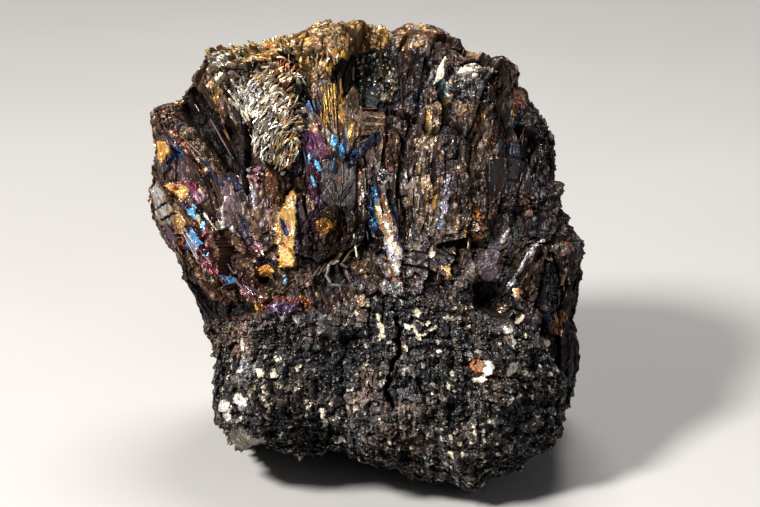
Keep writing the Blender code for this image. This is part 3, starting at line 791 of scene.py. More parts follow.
def patch(corners, names, film=(0.3, 0.0, 0.35), lift=0.35, flat=0.6, bright=0.5, ragged=None):
    names = (names,) if isinstance(names, str) else tuple(names)
    corners = np.array(corners, float)
    ahead = np.roll(corners, -1, 0)
    area = abs((corners[:, 0] * ahead[:, 1] - corners[:, 1] * ahead[:, 0]).sum()) / 2
    if ragged is None:
        ragged = float(np.clip(area / np.linalg.norm(ahead - corners, axis=1).sum() / 2.2, 0.25, 1.0))
    PATCHES.append((corners, names, film, lift, flat, bright, ragged))


def stroke(x0, y0, x1, y1, width, names, film=(0.3, 0.0, 0.35), lift=0.5, flat=0.45, bright=0.5, root=0.6, tip=0.8):
    """A long patch, from its root pixel to its tip pixel."""
    dx, dy = x1 - x0, y1 - y0
    far = math.hypot(dx, dy)
    ex, ey = -dy / far * width / 2, dx / far * width / 2
    sides = [(0.0, root), (0.35, 0.95), (0.7, 1.05), (0.93, tip), (1.0, tip * 0.6)]
    wobble = rng.normal(1, 0.12, (2, len(sides)))
    one = [(x0 + dx * t - ex * s * k, y0 + dy * t - ey * s * k) for (t, s), k in zip(sides, wobble[0])]
    two = [(x0 + dx * t + ex * s * k, y0 + dy * t + ey * s * k) for (t, s), k in zip(sides, wobble[1])]
    patch(one + two[::-1], names, film, lift, flat, bright)


def inside(corners, x, y):
    hit = np.zeros(len(x), bool)
    for (x0, y0), (x1, y1) in zip(corners, np.roll(corners, -1, 0)):
        rise = y1 - y0 if y1 != y0 else 1e-9
        hit ^= ((y0 > y) != (y1 > y)) & (x < (x1 - x0) * (y - y0) / rise + x0)
    return hit


def patch_at(p):
    """Which patch each point of the front belongs to, or -1; their borders are ragged."""
    x, y = pixel_of(p)
    dx = 2.2 * value_noise(p, 1.4, 65) + 1.2 * value_noise(p, 0.5, 66)
    dy = 2.2 * value_noise(p, 1.4, 67) + 1.2 * value_noise(p, 0.5, 68)
    found = np.full(len(p), -1)
    front = p[:, 2] > -1.0
    for k, (corners, *_, ragged) in enumerate(PATCHES):
        low, high = corners.min(0) - 4, corners.max(0) + 4
        near = np.flatnonzero(front & (x > low[0]) & (x < high[0]) & (y > low[1]) & (y < high[1]))
        found[near[inside(corners, x[near] + ragged * dx[near], y[near] + ragged * dy[near])]] = k
    return found


# The pale foliated crust at the upper left, and which way its leaves run there.
CRUST_OUTLINE = np.array([(206, 60), (214, 50), (240, 45), (284, 38), (306, 50), (308, 84), (306, 120), (304, 150), (300, 168), (286, 180), (272, 172),
                          (260, 158), (252, 138), (244, 124), (236, 110), (228, 94), (216, 82), (206, 72)], float)


def crust_leaves(p):
    """Which points lie on the crust, and its leaf-like cells: height in mm, how pale (0 to 1), random values."""
    x, y = pixel_of(p)
    wx, wy = x + 5 * value_noise(p, 2.6, 111) + 2 * value_noise(p, 0.8, 112), y + 5 * value_noise(p, 2.6, 113) + 2 * value_noise(p, 0.8, 114)
    on = inside(CRUST_OUTLINE, wx, wy) & (p[:, 2] > 0)
    turn = np.radians(np.interp(x, [212, 236, 250, 264, 285, 305], [-40, -22, 8, 38, 50, 60]) + np.interp(y, [50, 80, 120, 170], [42, 8, 0, -22]) + 22 * value_noise(p, 5.0, 115))
    a, b = (x - 262) * PIXEL, (112 - y) * PIXEL
    along, across = a * np.sin(turn) + b * np.cos(turn), a * np.cos(turn) - b * np.sin(turn)
    off, d1, d2, tag = grains(np.stack([across + 0.25 * value_noise(p, 0.9, 116), along / 3.6, p[:, 2] * 0.4], 1), 0.5, 121)
    clump = value_noise(p, 2.4, 117) + 0.6 * value_noise(p, 1.0, 118)
    heart = np.exp(-(((x - 268) / 34) ** 2) - ((y - 112) / 42) ** 2)
    pale = smooth(0.50, 0.62, tag[:, 0] + 0.26 * clump + 0.16 * heart - 0.11) * smooth(0.03, 0.14, d2 - d1)
    high = 0.9 * pale * (0.5 + tag[:, 3]) + 0.5 * clump - 0.5 * smooth(0.14, 0.0, d2 - d1)
    return on, high, pale, tag


def even_out(values, tris, rounds):
    """Values at the body's points, each blended with its neighbours' some rounds over."""
    here, after, before = tris.ravel(), np.roll(tris, -1, 1).ravel(), np.roll(tris, 1, 1).ravel()
    number = np.bincount(here, minlength=len(values)) * 2.0
    for _ in range(rounds):
        around = np.bincount(here, values[after] + values[before], len(values)) / number
        values = 0.4 * values + 0.6 * around
    return values


def core_point(n, tris):
    """Where the surface lies along unit directions n, with how much of the matrix, of the crack and of a gap is there."""
    p = n * body_radius(n)[:, None]
    share = matrix_share(p)
    front = smooth(0.0, 8.0, p[:, 2])
    p = p + OUT_LOCAL * (relief_at(p[:, 0], p[:, 1]) * front)[:, None]
    big = 1.5 * value_noise(p, 9.0, 11) + 1.0 * value_noise(p, 4.0, 12)
    rim_room = 0.35 + 0.65 * smooth(0.12, 0.5, np.abs(n[:, 2]))
    spot = patch_at(p)
    raised = np.append([entry[3] for entry in PATCHES], 0.0)[spot]
    sunk = np.minimum(raised + 0.6, 0.0)
    raised = even_out(raised - sunk, tris, 1) + even_out(sunk, tris, 7)
    flat = np.append([entry[4] for entry in PATCHES], 0.0)[spot]
    # The granular matrix: lumps, then grains with their own facets.
    off, d1, d2, lump_tag = grains(p, 2.6, 21)
    lumps = (lump_tag[:, 3] - 0.5) * 1.5 + (off * (lump_tag[:, :3] - 0.5)).sum(-1) * 1.3 - 0.5 * smooth(0.5, 0.0, d2 - d1)
    off, d1, d2, grain_tag = grains(p, 0.9, 31)
    facet = (off * (grain_tag[:, :3] - 0.5)).sum(-1) * 1.8 + (grain_tag[:, 3] - 0.5) * 0.7 - 0.2 * smooth(0.16, 0.0, d2 - d1)
    matrix = big * rim_room * 0.8 + (lumps + facet) * (0.5 + 0.5 * rim_room) * (1 - flat)
    # The fan: broad columns, each a stack of narrower ones, each of those in splinters.
    q = column_space(p)
    off, d1, d2, wide_tag = grains(q, 5.0, 71)
    gap = smooth(0.30, 0.03, d2 - d1) * smooth(0.45, 0.85, wide_tag[:, 1]) * (1 - flat)
    near_front = smooth(0.0, 7.0, p[:, 2])
    column = ((wide_tag[:, 3] - 0.5) * 2.6 + (off * (wide_tag[:, :3] - 0.5)).sum(-1) * 1.2) * (0.2 + 0.8 * near_front) - 1.9 * gap
    off, d1, d2, mid_tag = grains(q * np.array([1.0, 1.5, 1.0]), 1.7, 81)
    seam = smooth(0.10, 0.0, d2 - d1)
    split = (mid_tag[:, 3] - 0.5) * 0.6 + (off * (mid_tag[:, :3] - 0.5)).sum(-1) * 1.0 - 0.3 * seam
    off, d1, d2, fine_tag = grains(q * np.array([1.0, 1.5, 1.0]), 0.45, 91)
    fine = (fine_tag[:, 3] - 0.5) * 0.28 + (off * (fine_tag[:, :3] - 0.5)).sum(-1) * 1.1
    off, d1, d2, rough_tag = grains(p, 0.7, 131)
    worn = np.maximum(0.7 * smooth(-0.1, 0.6, value_noise(p, 5.0, 15)), 1 - near_front)
    rough = ((off * (rough_tag[:, :3] - 0.5)).sum(-1) * 1.0 + (rough_tag[:, 3] - 0.5) * 0.3) * worn * (1.6 - 0.6 * near_front)
    column = (column * (1 - 0.9 * flat**2) + (split + fine + rough) * (1 - 0.88 * flat)) * (0.55 + 0.45 * rim_room) + 0.4 * value_noise(p, 1.1, 14) * (1 - flat) - 0.3
    on_crust, leaf, pale, leaf_tag = crust_leaves(p)
    column = np.where(on_crust, 0.4 * column + leaf + 0.5, column)
    x, y = pixel_of(p)
    near = crack_share(x + 2.6 * value_noise(p, 1.8, 41) + 1.6 * value_noise(p, 0.7, 42) + 1.6 * (grain_tag[:, 3] - 0.5), y)
    wide = np.interp(y, [314, 324, 345, 372, 392, 410], [0.4, 1.3, 1.7, 1.2, 1.6, 0.4])
    crack = smooth(wide + 1.6, wide - 0.6, near) * front * (y > 300)
    move = matrix * share + column * (1 - share)
    # Ledges and the crack go straight in and out of the display face, so that their walls don't smear across it.
    ahead = raised * 0.8 * smooth(-1.0, 5.0, p[:, 2]) - crack * 4.5
    way = unit(n + OUT_LOCAL * 1.2 * smooth(2.0, 9.0, p[:, 2])[:, None])
    p = p + way * (move - 0.45)[:, None]
    p = p + OUT_LOCAL * ahead[:, None]
    # Painted shade for the gaps and seams between the fan's columns: how much of it each point gets.
    gap_shade = np.clip(gap + 0.35 * seam * (1 - flat), 0, 1) * (1 - share)
    # Where the material's own streaks run: along the plates on the fan, as the layout on the matrix.
    fibre = np.stack([q[:, 1] * 5.5, q[:, 0], p[:, 2]], 1)
    return p, share, crack, gap_shade, spot, wide_tag, mid_tag, fine_tag, lump_tag, grain_tag, rough_tag, (on_crust, pale, leaf_tag), fibre


def tones_at(x, y, pick):
    """Tint rows for many places at once; pick (0 to 1) chooses among the tones that show there."""
    weight = np.zeros((len(x), len(NAMES)))
    for name, value in BASE_TONES.items():
        weight[:, NAMES.index(name)] += value * 0.35
    for tx, ty, rx, ry, tones in TONES:
        near = np.exp(-(((x - tx) / rx) ** 2) - ((y - ty) / ry) ** 2) * 1.4
        for name, value in tones.items():
            weight[:, NAMES.index(name)] += value * near
    rise = np.cumsum(weight, 1)
    choice = (pick[:, None] * rise[:, -1:] > rise).sum(1)
    return np.stack([TINTS[m] for m in NAMES])[np.clip(choice, 0, len(NAMES) - 1)]


def sector(name, p, world, tris, keep, tone, film, material, fibre=None):
    """Part of the body as a closed piece of its own: its outer faces and the walls from their border to the middle."""
    part = tris[keep]
    edges = np.concatenate([part[:, [0, 1]], part[:, [1, 2]], part[:, [2, 0]]])
    key = edges[:, 0].astype(np.int64) * len(p) + edges[:, 1]
    back = edges[:, 1].astype(np.int64) * len(p) + edges[:, 0]
    border = edges[~np.isin(key, back)]
    used, index = np.unique(part, return_inverse=True)
    index = index.reshape(part.shape)
    place_of = np.full(len(p), -1)
    place_of[used] = np.arange(len(used))
    walls = np.stack([place_of[border[:, 1]], place_of[border[:, 0]], np.full(len(border), len(used))], 1)
    local = np.concatenate([(p if fibre is None else fibre)[used], np.zeros((1, 3))])
    where = np.concatenate([world[used], (MIDDLE * 0.001)[None]])
    dark = np.repeat((TINTS["umber"] * 0.4)[None], len(walls), 0)
    plain = np.repeat(np.array([[0.3, 0.0, 0.5]]), len(walls), 0)
    return mesh_object(name, where, np.zeros((0, 4), int), np.concatenate([index, walls]), np.concatenate([tone[keep], dark]),
                       np.concatenate([film[keep], plain]), local, material)


def build_core():
    n, tris = ball(196)
    # Spread so that the triangles come out much alike on the broad front, and finest there.
    n = unit(n * np.array([1.0, 1.0, 0.40]) + np.array([0.0, 0.0, 0.13]))
    p, share, crack, gap_shade, spot, wide_tag, mid_tag, fine_tag, lump_tag, grain_tag, rough_tag, (on_crust, pale_leaf, leaf_tag), fibre = core_point(n, tris)
    a, b, c = p[tris[:, 0]], p[tris[:, 1]], p[tris[:, 2]]
    mid = (a + b + c) / 3
    world = to_world(p)
    x, y = pixel_of(mid)
    s = share[tris].mean(1)
    dark = crack[tris].mean(1)
    large, small = value_noise(mid, 6.0, 51), value_noise(mid, 2.2, 52)
    first = tris[:, 0]
    # The fan's colours go by column: a main tone, its neighbour's now and then, and a few pale splinters that are
    # painted highlights.
    pick = np.where(mid_tag[first, 1] < 0.45, wide_tag[first, 2], np.where(fine_tag[first, 0] < 0.75, mid_tag[first, 2], fine_tag[first, 1]))
    pick = np.where((mid[:, 2] < 5) & (rough_tag[first, 3] < 0.7), rough_tag[first, 2], pick)
    tone = tones_at(x, y, pick)
    calm = (0.45 * smooth(325, 370, x) * smooth(120, 160, y) + 0.1)[:, None]
    tone = tone * (1 - calm) + tone.mean(1)[:, None] * calm
    streak = value_noise(np.stack([fibre[first, 0] / 6, fibre[first, 1], fibre[first, 2]], 1), 0.5, 53) + 0.8 * value_noise(np.stack([fibre[first, 0] / 5, fibre[first, 1], fibre[first, 2]], 1), 1.6, 54)
    bright = np.exp(0.6 * streak + 1.0 * (mid_tag[first, 0] - 0.6) + 0.7 * (wide_tag[first, 2] - 0.5) + 0.5 * (rough_tag[first, 0] - 0.55) + 1.3 * (fine_tag[first, 3] - 0.6) - 0.3)
    tone = tone * np.minimum(bright, 1.8)[:, None]
    # Painted highlights: a few pale tan splinters and ash glints, kept out of the gaps; the gaps then get their painted
    # shade.
    pale = (fine_tag[first, 2] > 0.955) & (gap_shade[first] < 0.3)
    tone = np.where(pale[:, None], TINTS["tan"] * 0.8 + 0.3 * tone, tone)
    glint = (fine_tag[first, 1] > 0.98) & (gap_shade[first] < 0.3)
    tone = np.where(glint[:, None], TINTS["ash"] * 0.8, tone) * (1 - 0.85 * gap_shade[tris].mean(1)[:, None])
    # Painted shade: the right side is darker, and so are the left valley and the far ends of the back plates.
    # Iridescence keeps to a few zones.
    tone = tone * (1 - 0.82 * smooth(465, 505, x) * smooth(130, 175, y))[:, None] * (1 - 0.3 * smooth(400, 430, x) * smooth(110, 150, y))[:, None] * 1.14
    tone = tone * (1 - 0.35 * np.exp(-(((x - 212) / 40) ** 2) - ((y - 130) / 50) ** 2))[:, None]
    tone = tone * (1 - 0.75 * smooth(556, 566, x) * smooth(300, 325, y))[:, None] * (1 - 0.7 * smooth(215, 190, x - 0.55 * (y - 265)) * smooth(255, 275, y))[:, None]
    # The crust: pale leaves on a dark ground, golden towards its upper edge; the ground's darkness between the leaves
    # is partly painted shade.
    gilt = smooth(78, 58, y)[:, None] * (leaf_tag[first, 2] < 0.8)[:, None]
    leaf = np.where((leaf_tag[first, 1] < 0.62)[:, None], TINTS["cream"], np.where((leaf_tag[first, 1] < 0.85)[:, None], TINTS["white"], TINTS["tan"]))
    leaf = leaf * (1 - 0.6 * gilt) + TINTS["gold"] * 0.75 * 0.6 * gilt
    ground = np.where((leaf_tag[first, 2] < 0.55)[:, None], TINTS["black"] * 1.3, np.where((leaf_tag[first, 2] < 0.8)[:, None], TINTS["umber"], TINTS["bronze"] + TINTS["gold"] * 0.15 * (leaf_tag[first, 1] > 0.5)[:, None]))
    share_leaf = pale_leaf[first][:, None]
    leafy = leaf * share_leaf * (0.85 + 0.55 * leaf_tag[first, 3])[:, None] + 0.36 * ground * (1 - share_leaf)
    tone = np.where(on_crust[first][:, None], leafy, tone)
    zone = 0.8 * np.exp(-(((x - 222) / 62) ** 2) - ((y - 215) / 75) ** 2) + 0.6 * np.exp(-(((x - 314) / 20) ** 2) - ((y - 165) / 45) ** 2)
    zone = zone + 0.4 * np.exp(-(((x - 405) / 60) ** 2) - ((y - 262) / 34) ** 2) + 0.5 * np.exp(-(((x - 550) / 20) ** 2) - ((y - 325) / 24) ** 2)
    hue = np.where(wide_tag[first, 0] < 0.7, 0.36 + 0.36 * wide_tag[first, 0], 0.06 + 0.1 * mid_tag[first, 3])
    fan_film = np.stack([hue, np.where(mid_tag[first, 1] > 0.72, 0.05 + 0.36 * zone, 0.02), 0.27 + 0.22 * fine_tag[first, 3]], 1)
    grey = TINTS["slate"] * 0.9
    middle = np.exp(-(((x - 380) / 60) ** 2) - ((y - 395) / 55) ** 2)
    brown = smooth(-0.1, 0.6, large + 0.4 * small)[:, None]
    matrix = grey * (1 - brown) + (TINTS["bronze"] * 0.34 + grey * 0.22) * brown
    matrix = matrix * (0.47 + 0.44 * middle[:, None]) + middle[:, None] * TINTS["grey"] * 0.08
    for px, py, rx, ry, name, share_of in (
        (238, 340, 26, 22, "bronze", 0.55), (250, 325, 30, 10, "mauve", 0.4), (245, 372, 14, 16, "ash", 0.45), (512, 338, 22, 14, "bronze", 0.5),
        (480, 368, 14, 12, "rust", 0.5), (300, 400, 24, 20, "umber", 0.4), (290, 335, 24, 12, "bronze", 0.4), (500, 385, 24, 22, "umber", 0.35),
        (235, 405, 14, 14, "grey", 0.4), (472, 480, 12, 8, "ash", 0.4), (325, 330, 10, 12, "ash", 0.35), (540, 380, 20, 40, "black", 0.5),
        (225, 420, 12, 20, "umber", 0.3), (440, 440, 50, 25, "brown", 0.15), (350, 330, 20, 14, "grey", 0.3),
    ):
        near = np.exp(-(((x - px) / rx) ** 2) - ((y - py) / ry) ** 2) * smooth(-0.5, 0.4, small + 0.3) * share_of
        matrix = matrix * (1 - near[:, None]) + TINTS[name] * near[:, None]
    # Grain by grain: most dark, a few pale, in darker and lighter drifts. The pale ash and cream specks are partly pale
    # grains and partly painted glints.
    drift = np.exp(0.9 * large + 0.6 * small) * np.exp(2.2 * (grain_tag[first, 0] - 0.6) + 1.2 * (lump_tag[first, 1] - 0.5) + 1.4 * (rough_tag[first, 0] - 0.55))
    matrix = matrix * np.minimum(drift, 4.0)[:, None]
    speck = grain_tag[first, 1] + 0.10 * small
    matrix = np.where((speck > 0.93)[:, None], TINTS["ash"] * (0.5 + 0.9 * rough_tag[first, 2])[:, None], matrix)
    matrix = np.where(((speck > 0.985) | (rough_tag[first, 1] > 0.975))[:, None], TINTS["cream"] * 0.75, matrix)
    is_matrix = s > 0.5
    tone = np.where(is_matrix[:, None], matrix, tone)
    # Ledges and patches.
    which = spot[first]
    on = which >= 0
    table = np.array([[TINTS[names[k % len(names)]] for k in range(6)] for _, names, *_ in PATCHES])
    sheen = np.array([entry[2] for entry in PATCHES])
    bright = np.array([entry[5] for entry in PATCHES])
    turn = np.where(is_matrix, grain_tag[first, 2], 0.6 * mid_tag[first, 2] + 0.4 * fine_tag[first, 2])
    pick = np.clip((turn * 6).astype(int), 0, 5)
    even = 0.75 * np.array([entry[4] for entry in PATCHES])[which] ** 2
    vary = (0.55 * mid_tag[first, 0] + 0.45 * fine_tag[first, 0]) * (1 - even) + 0.5 * even
    # Patches take the painted shade of the gaps and seams too.
    light = bright[which] * (0.62 + vary) * (1 - 0.5 * gap_shade[first]) * (1 - 0.2 * smooth(235, 205, x) * smooth(120, 160, y))
    tone = np.where(on[:, None], table[which, pick] * light[:, None], tone)
    # Painted shade on the plates behind the lower right edge.
    tone = tone * (1 - 0.7 * smooth(560, 568, x) * smooth(300, 320, y))[:, None]
    fan_film = np.where(on[:, None], sheen[which] + np.stack([0.10 * (mid_tag[first, 1] - 0.5), np.zeros(len(first)), 0.1 * (fine_tag[first, 1] - 0.5)], 1), fan_film)
    # Painted shade in the crack.
    tone = tone * (1 - 0.9 * dark[:, None])
    # Painted shade in the hollows of the display face.
    hollow_shade = smooth(0.2, -1.6, relief_at(mid[:, 0], mid[:, 1])) * smooth(0, 8, mid[:, 2])
    tone = np.clip(tone * (1 - 0.45 * hollow_shade[:, None]), 0, 1)
    film = np.stack([np.full(len(tris), 0.3), 0.9 * s * (1 - dark), 0.38 + 0.1 * rng.normal(size=len(tris)) * 0.5], 1)
    film = np.clip(np.where(is_matrix[:, None], film, fan_film), 0, 1)
    ahead = mid[:, 2] > -2
    sector("granular_matrix", p, world, tris, is_matrix & ahead, tone, film, MATRIX)
    sector("granular_matrix_back", p, world, tris, is_matrix & ~ahead, tone, film, MATRIX)
    sector("fan_left", p, world, tris, ~is_matrix & ahead & (mid[:, 0] < 0), tone, film, PLATE, fibre)
    sector("fan_right", p, world, tris, ~is_matrix & ahead & (mid[:, 0] >= 0), tone, film, PLATE, fibre)
    sector("fan_back", p, world, tris, ~is_matrix & ~ahead, tone, film, PLATE, fibre)
    normal = np.cross(b - a, c - a)
    area = np.linalg.norm(normal, axis=1)
    return mid, normal / np.maximum(area, 1e-12)[:, None], area, s


MATRIX = matrix_material("granular_sulphide")
PLATE = crystal_material("tarnished_plates", streak=3.0, metallic=0.6, bump_mm=0.10, contrast=0.85, film_noise=0.18)
FILM = crystal_material("iridescent_film", streak=1.6, metallic=0.55, bump_mm=0.06, contrast=0.35, film_noise=0.22)
CRUST = crystal_material("pale_foliated_crust", streak=2.0, metallic=0.5, bump_mm=0.05, contrast=0.45, film_noise=0.2)



# ---- the fan's plates -------------------------------------------------------------------------------------
def flow_at(x, y):
    """The way plates run at a pixel, in radians clockwise from straight up."""
    return float(look_up(TURN_TABLE, np.array([float(x)]), np.array([float(y)]))[0])


def room(x, y):
    """How many pixels inside the outline a place is."""
    a, b = (x - MID_X) * PIXEL, (MID_Y - y) * PIXEL
    return (rim_at(math.atan2(b, a)) - math.hypot(a, b)) / PIXEL


def fan_foot(x):
    """How low the fan's plates reach, in pixels."""
    return np.interp(x, [150, 190, 215, 250, 300, 350, 392, 440, 480, 510, 545, 580], [290, 312, 318, 318, 312, 305, 296, 296, 300, 318, 345, 400])


def fan_books(batch, count, long_low, long_high, wide_low, wide_high, lift_low, lift_high, thick=(1.0, 2.6), sheets=(4, 8),
              edge_on=0.5, bright=1.0, film_share=0.15, at_rim=False, seed=0, margin=1.0):
    """Books that follow the flow, spread evenly over the fan (or along its rim)."""
    made = 0
    tries = 0
    while made < count and tries < count * 12:
        tries += 1
        k = tries + seed
        if at_rim:
            turn = math.radians(-112 + 196 * ((k * 0.6180339) % 1.0))
            far = rim_pixel(turn)
            x1, y1 = ROOT_X + math.sin(turn) * far, ROOT_Y - math.cos(turn) * far
            inward = rng.uniform(0, 5)
            x1, y1 = x1 - math.sin(turn) * inward, y1 + math.cos(turn) * inward
            if y1 > 330:
                continue
            way = flow_at(x1, y1) + rng.normal(0, 0.05)
            long = rng.uniform(long_low, long_high)
        else:
            x, y = 140 + 450 * ((k * 0.7548776) % 1.0), 15 + 335 * ((k * 0.5698402) % 1.0)
            if room(x, y) < 6 or y > fan_foot(x) - 4:
                continue
            way = flow_at(x, y) + rng.normal(0, 0.07)
            long = rng.uniform(long_low, long_high)
            x1, y1 = x + math.sin(way) * long / 2, y - math.cos(way) * long / 2
            for _ in range(30):
                if room(x1, y1) > margin:
                    break
                x1, y1 = x1 - math.sin(way) * 3, y1 + math.cos(way) * 3
        x0, y0 = x1 - math.sin(way) * long, y1 + math.cos(way) * long
        for _ in range(40):
            if y0 < fan_foot(x0) + 2 and room(x0, y0) > 2:
                break
            x0, y0, long = x0 + math.sin(way) * 3, y0 - math.cos(way) * 3, long - 3
        if long < 8:
            continue
        mx, my = (x0 + x1) / 2, (y0 + y1) / 2
        wide = rng.uniform(wide_low, wide_high)
        lift = rng.uniform(lift_low, lift_high)
        tints = tone_at(mx, my, 3)
        # Some edges take a lighter tint: painted highlight where the plate edges catch light.
        edges = tuple(LIGHTER[t] if rng.uniform() < 0.4 else t for t in tints)
        is_edge = rng.uniform() < edge_on
        roll = rng.choice([-1, 1]) * rng.uniform(52, 88) if is_edge else rng.normal(0, 22)
        share = rng.uniform(0.2, 0.8) if rng.uniform() < film_share else 0.0
        phase = rng.choice([0.05, 0.12, 0.36, 0.44, 0.52, 0.6])
        thickness = rng.uniform(*thick)
        if is_edge:
            wide, thickness = max(wide * 0.6, 4), wide * PIXEL * rng.uniform(0.8, 1.1)
            lift = lift + wide * PIXEL * 0.25
        face_book(batch, x0, y0, x1, y1, wide, lift, lift - rng.uniform(-0.3, 0.5), thickness, roll, int(rng.integers(*sheets)),
                  tints=tints, edges=edges, film=(phase, share, rng.uniform(0.26, 0.5)), bright=bright * float(np.exp(rng.normal(0, 0.25))),
                  root_share=rng.uniform(0.6, 1.0), tip_share=rng.uniform(0.6, 1.0), bend_side=rng.normal(0, 0.25), bend_out=rng.normal(0, 0.15),
                  tip_drop=0.08 if at_rim else 0.16)
        made += 1
    return made


def crystals(batch, count, x, y, rx, ry, names, size=(0.2, 0.5), lift=0.1, film=(0.3, 0.0, 0.3), flat=0.7, spread=0.9, angle=0.0, blocky=False):
    """A cluster of small crystals round a pixel: a mottled patch of the surface, and some that stand out of it."""
    c, s = math.cos(math.radians(angle)), math.sin(math.radians(angle))
    ring = [(rx * math.cos(0.6 * k), ry * math.sin(0.6 * k)) for k in range(10)]
    patch([(x + dx * c - dy * s, y + dx * s + dy * c) for dx, dy in ring], tuple(names) + ("umber", "black"), (film[0], film[1] * 0.5, film[2]), 0.1, 0.0, 0.42)
    count = int(count * 0.35)
    lift = lift * 0.4 - 0.25
    r = np.sqrt(rng.uniform(0, 1, count))
    t = rng.uniform(0, 2 * math.pi, count)
    dx, dy = rx * r * np.cos(t), ry * r * np.sin(t)
    c, s = math.cos(math.radians(angle)), math.sin(math.radians(angle))
    p = on_face(x + dx * c - dy * s, y + dx * s + dy * c, lift)
    tint = np.stack([TINTS[n] for n in rng.choice(names, count)]) * rng.uniform(0.3, 0.9, (count, 1))
    sheen = np.repeat(np.array(film, float)[None], count, 0)
    sheen[:, 0] = np.clip(sheen[:, 0] + rng.normal(0, 0.05, count), 0, 1)
    add_grains(batch, p, rng.uniform(*size, count), np.array([0, 0, 1.0]), tint, sheen, flat=flat, spread=spread, blocky=blocky)


def slivers(batch, count, x, y, rx, ry, way, names, long=(0.8, 2.0), deep=0.9, thick=(0.12, 0.32), lift=0.35, angle=0.0, way_spread=0.25,
            film=(0.1, 0.0, 0.3), edge_names=None, bend=0.25, tilt=0.25, swirl=0.0):
    """Fine plates that stand on edge side by side, like a cut brush."""
    r = np.sqrt(rng.uniform(0, 1, count))
    t = rng.uniform(0, 2 * math.pi, count)
    dx, dy = rx * r * np.cos(t), ry * r * np.sin(t)
    c, s = math.cos(math.radians(angle)), math.sin(math.radians(angle))
    px, py = x + dx * c - dy * s, y + dx * s + dy * c
    p = on_face(px, py, 0.0)
    p[:, 2] += lift + rng.normal(0, 0.25, count) + 0.5 * value_noise(p, 2.2, 77)
    turn = np.radians(way) + rng.normal(0, way_spread, count) + swirl * value_noise(p, 4.0, 71)
    along = np.stack([np.sin(turn), np.cos(turn), rng.normal(0, tilt, count)], 1)
    length = rng.uniform(*long, count)
    side = np.array([0, 0, 1.0]) + rng.normal(0, 0.35, (count, 3))
    # Pale slivers keep together in tufts, with dark ones between.
    tuft = value_noise(p * np.array([1, 1, 0.3]), 1.5, 73) + 0.5 * value_noise(p, 3.4, 74) + rng.normal(0, 0.25, count)
    tint = np.stack([TINTS[n] for n in rng.choice(names, count)]) * np.exp(rng.normal(0, 0.2, (count, 1))) * (0.3 + 0.65 * smooth(-0.25, 0.45, tuft))[:, None]
    edge = tint if edge_names is None else np.stack([TINTS[n] for n in rng.choice(edge_names, count)])
    sheen = np.repeat(np.array(film, float)[None], count, 0)
    add_plates(batch, p - unit(along) * length[:, None] / 2, along, side, length, deep * rng.uniform(0.6, 1.2, count), rng.uniform(*thick, count), tint, edge,
               sheen, 0.8, 0.5, 0.0, rng.normal(0, bend, count), rng.normal(0, bend * 0.5, count), 0.1, 0.0, stations=4)


def blade(batch, x0, y0, x1, y1, width, names, edges=None, lift=0.8, thick=1.2, roll=0.0, count=3, film=(0.3, 0.0, 0.3), bright=1.0, **look):
    """A plate on the display face: a narrow one is a book of its own, a middling one a ledge, and a broad one a ledge
    with a fine plate along one side.
    """
    look.setdefault("spread", 0.9)
    look.setdefault("ragged", 0.16)
    # Edges default to lighter tints: painted highlight along the plate edges.
    edges = edges or tuple(LIGHTER[n] for n in names)
    low = lift * 0.4 - 0.3
    if width < 1.8:
        face_book(batch, x0, y0, x1, y1, width, low, low, thick, roll, count, tints=names, edges=edges, film=film, bright=bright * 0.62, **look)
        return
    if width < 5.5:
        stroke(x0, y0, x1, y1, width, tuple(names) + ("umber",), film, low + 0.35, 0.2, 0.55 * bright)
        return
    stroke(x0, y0, x1, y1, width, tuple(names) + ("umber",), film, low + 0.3, 0.45, 0.5 * bright)
    far = math.hypot(x1 - x0, y1 - y0)
    ex, ey = -(y1 - y0) / far * width / 2, (x1 - x0) / far * width / 2
    start, stop = rng.uniform(0, 0.4), rng.uniform(0.6, 0.95)
    ax, ay, bx, by = x0 + (x1 - x0) * start - ex * 0.9, y0 + (y1 - y0) * start - ey * 0.9, x0 + (x1 - x0) * stop - ex * 0.9, y0 + (y1 - y0) * stop - ey * 0.9
    face_book(batch, ax, ay, bx, by, rng.uniform(0.9, 1.8), low - 0.15, low - 0.25, 0.6, rng.uniform(-50, 50), 2, tints=names, edges=names,
              film=(film[0], film[1] * 0.25, film[2]), bright=bright * 0.3, **look)


def flake(batch, corners, name, lift=1.0, film=(0.3, 0.0, 0.3), edge=None, dome=0.15, thick=1.0, **look):
    """A facet of the surface, with its own tint; its neighbours' grains break into it."""
    patch(corners, (name, name, name, edge or LIGHTER[name], name, "umber"), film, 0.35 * lift - 0.15, 0.75, 0.55, 0.45)


books = Batch()
fan_books(books, 20, 14, 40, 3, 6, -1.4, -0.9, thick=(0.8, 1.6), sheets=(3, 7), edge_on=0.7, seed=17, bright=0.34, film_share=0.0, margin=12)
fan_books(books, 110, 7, 18, 0.6, 1.1, -0.6, 0.0, thick=(0.16, 0.32), sheets=(1, 3), edge_on=0.5, seed=907, bright=0.42, film_share=0.0, margin=12)
books.build("fan_books", PLATE)

# ---- the left flank: iridescent plates ---------------------------------------------------------------------
iris = Batch()
dull = Batch()
